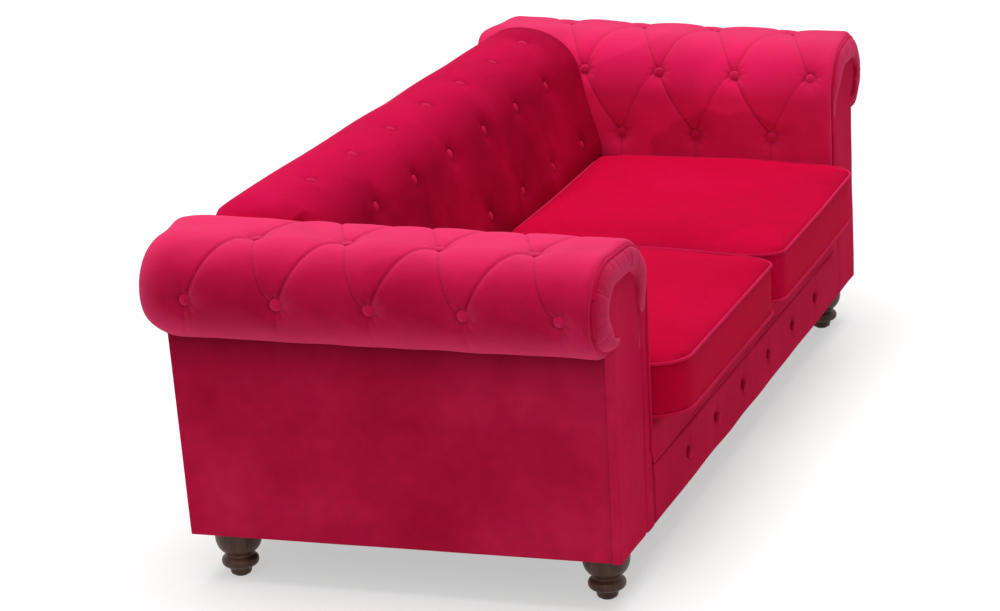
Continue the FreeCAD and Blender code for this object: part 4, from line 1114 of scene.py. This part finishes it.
footShape = dict(frontX=811.0, rearX=838.0, frontY=-318.0, rearY=363.0, rows=150, sides=72, tip=0.3)
footProfile = np.array([(40, 95), (42, 88), (42.6, 80), (42.2, 71), (40.2, 62), (36.2, 53.5), (31.0, 47.6),
                        (27.2, 44.2), (26.0, 41.8), (26.4, 39.4), (29.2, 37), (32.4, 33.6), (33.7, 29),
                        (33.0, 24), (30.0, 20), (25.6, 17.8), (21.8, 16.2), (20.2, 13), (19.2, 8),
                        (17.8, 4.2), (15.2, 3.0), (0.3, 3.0)])


def makeFeet():
    # smooth curve of third degree through the profile points, with the slope between the neighbours at each
    fineT = np.linspace(0, len(footProfile) - 1, footShape["rows"])
    slopes = np.gradient(footProfile, axis=0)
    k = np.clip(fineT.astype(int), 0, len(footProfile) - 2)
    f = (fineT - k)[:, None]
    p0, p1, m0, m1 = footProfile[k], footProfile[k + 1], slopes[k], slopes[k + 1]
    fine = ((2 * f ** 3 - 3 * f ** 2 + 1) * p0 + (f ** 3 - 2 * f ** 2 + f) * m0
            + (3 * f ** 2 - 2 * f ** 3) * p1 + (f ** 3 - f ** 2) * m1)
    fine[:, 0] = np.maximum(fine[:, 0], footShape["tip"])
    angle = np.linspace(0, 2 * np.pi, footShape["sides"], endpoint=False)
    for row in ("front", "rear"):
        x, y = footShape[row + "X"], footShape[row + "Y"]
        for side, sign in (("left", -1), ("right", 1)):
            points = np.stack([sign * x + fine[:, :1] * np.cos(angle), y + fine[:, :1] * np.sin(angle),
                               fine[:, 1:] + 0 * angle], -1)
            name = row + side.capitalize() + "TurnedFoot"
            foot = gridPiece(name, points, stainedWood, wrapColumns=True, flip=True)
            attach(foot, "frame")
            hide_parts(row + "_" + side + "_foot")


makeFeet()
print("feet made")


# finishes for the rigid pieces that come from the model

slotLooks = dict(timber=bareTimber, hardboard=hardboard, steel=steel, glides=glidePlastic, lining=lining,
                 foam=foam, velvet=velvetPlain, feet=stainedWood)
slots = {part["node"]: part["material_slot"] for part in frame["record"]["subparts"]}
for nodeName, slotName in slots.items():
    piece = bpy.data.objects.get(nodeName)
    if piece is not None and piece.type == "MESH":
        for spot in piece.material_slots:
            spot.material = slotLooks[slotName]
print("finishes set")


# floor, light and camera

# painted floor: pale and matt; half of it glows, so that shadows stay light
floorLook = dict(colour="#d6d6d6", roughness=0.9, specular=0.1, glow=0.5, halfSize=30000.0)
skyStrength = 0.26


def whiteMix(tree, plain, shade):
    # rays that the viewer sees meet white, the rest meet the plain shader
    rays = addNode(tree, "ShaderNodeLightPath").outputs
    seen = addNode(tree, "ShaderNodeMath", {0: rays["Is Camera Ray"], 1: rays["Is Glossy Ray"]},
                   operation="MAXIMUM")
    seen = addNode(tree, "ShaderNodeMath", {0: seen.outputs[0], 1: rays["Is Transmission Ray"]},
                   operation="MAXIMUM")
    mix = addNode(tree, "ShaderNodeMixShader", {"Fac": seen.outputs[0], 1: plain.outputs[0],
                                                2: shade.outputs[0]})
    return mix.outputs[0]


def makeStage():
    material, tree = newMaterial("paleFloor")
    plain = addNode(tree, "ShaderNodeBsdfPrincipled", {"Base Color": linearColour(floorLook["colour"]),
                                                       "Roughness": floorLook["roughness"],
                                                       "Specular IOR Level": floorLook["specular"]})
    white = addNode(tree, "ShaderNodeBsdfDiffuse", {"Color": grey(1)})
    glow = addNode(tree, "ShaderNodeEmission", {"Color": grey(1), "Strength": 1.0})
    bright = addNode(tree, "ShaderNodeMixShader", {"Fac": floorLook["glow"], 1: white.outputs[0],
                                                   2: glow.outputs[0]})
    addNode(tree, "ShaderNodeOutputMaterial", {"Surface": whiteMix(tree, plain, bright)})
    size = floorLook["halfSize"]
    corners = np.array([(-size, -size, 0), (size, -size, 0), (size, size, 0), (-size, size, 0)])
    floor = meshFrom("studioFloor", corners, np.array([[0, 1, 2, 3]]), material, False)
    world = bpy.data.worlds.new("studioWorld")
    scene.world = world
    world.use_nodes = True
    tree = world.node_tree
    tree.nodes.clear()
    soft, white = (addNode(tree, "ShaderNodeBackground", {"Color": grey(1), "Strength": strength})
                   for strength in (skyStrength, 1.0))
    addNode(tree, "ShaderNodeOutputWorld", {"Surface": whiteMix(tree, soft, white)})


def aim(obj, axes, spot):  # axes are the object's own x, y and z
    turn = np.eye(4)
    turn[:3, :3] = np.array(axes).T
    turn[:3, 3] = spot
    obj.matrix_world = Matrix(turn.tolist())


def makeSun(name, toward, strength, spread):
    data = bpy.data.lights.new(name, "SUN")
    data.energy = strength
    data.angle = math.radians(spread)
    away = unit(np.array(toward))
    across = unit(np.cross([0, 1.0, 0], away))
    aim(addObject(name, data), (across, np.cross(away, across), away), (0, 0, 0))


def makeCamera():
    view = dict(spot=(-5.5467, -1.8466, 2.0048), azimuth=-70.2607, elevation=16.4378, roll=-2.9831,
                focal=3073.15, photoWidth=1000, sensor=36.0)
    a, e, r = (math.radians(view[key]) for key in ("azimuth", "elevation", "roll"))
    away = np.array([math.sin(a) * math.cos(e), -math.cos(a) * math.cos(e), math.sin(e)])
    right = unit(np.cross(-away, [0, 0, 1.0]))
    upward = np.cross(right, -away)
    rolledRight = math.cos(r) * right + math.sin(r) * upward
    rolledUp = -math.sin(r) * right + math.cos(r) * upward
    data = bpy.data.cameras.new("photoCamera")
    data.sensor_width = view["sensor"]
    data.lens = view["focal"] / view["photoWidth"] * view["sensor"]
    data.clip_end = 100
    scene.camera = addObject("photoCamera", data)
    aim(scene.camera, (rolledRight, rolledUp, away), view["spot"])


makeStage()
makeSun("overheadSoftbox", (0.0, 0.0, 1.0), 2.6, 50)
makeSun("sideFill", (-1.0, -0.1, 0.8), 0.6, 50)
makeCamera()
print("stage made")
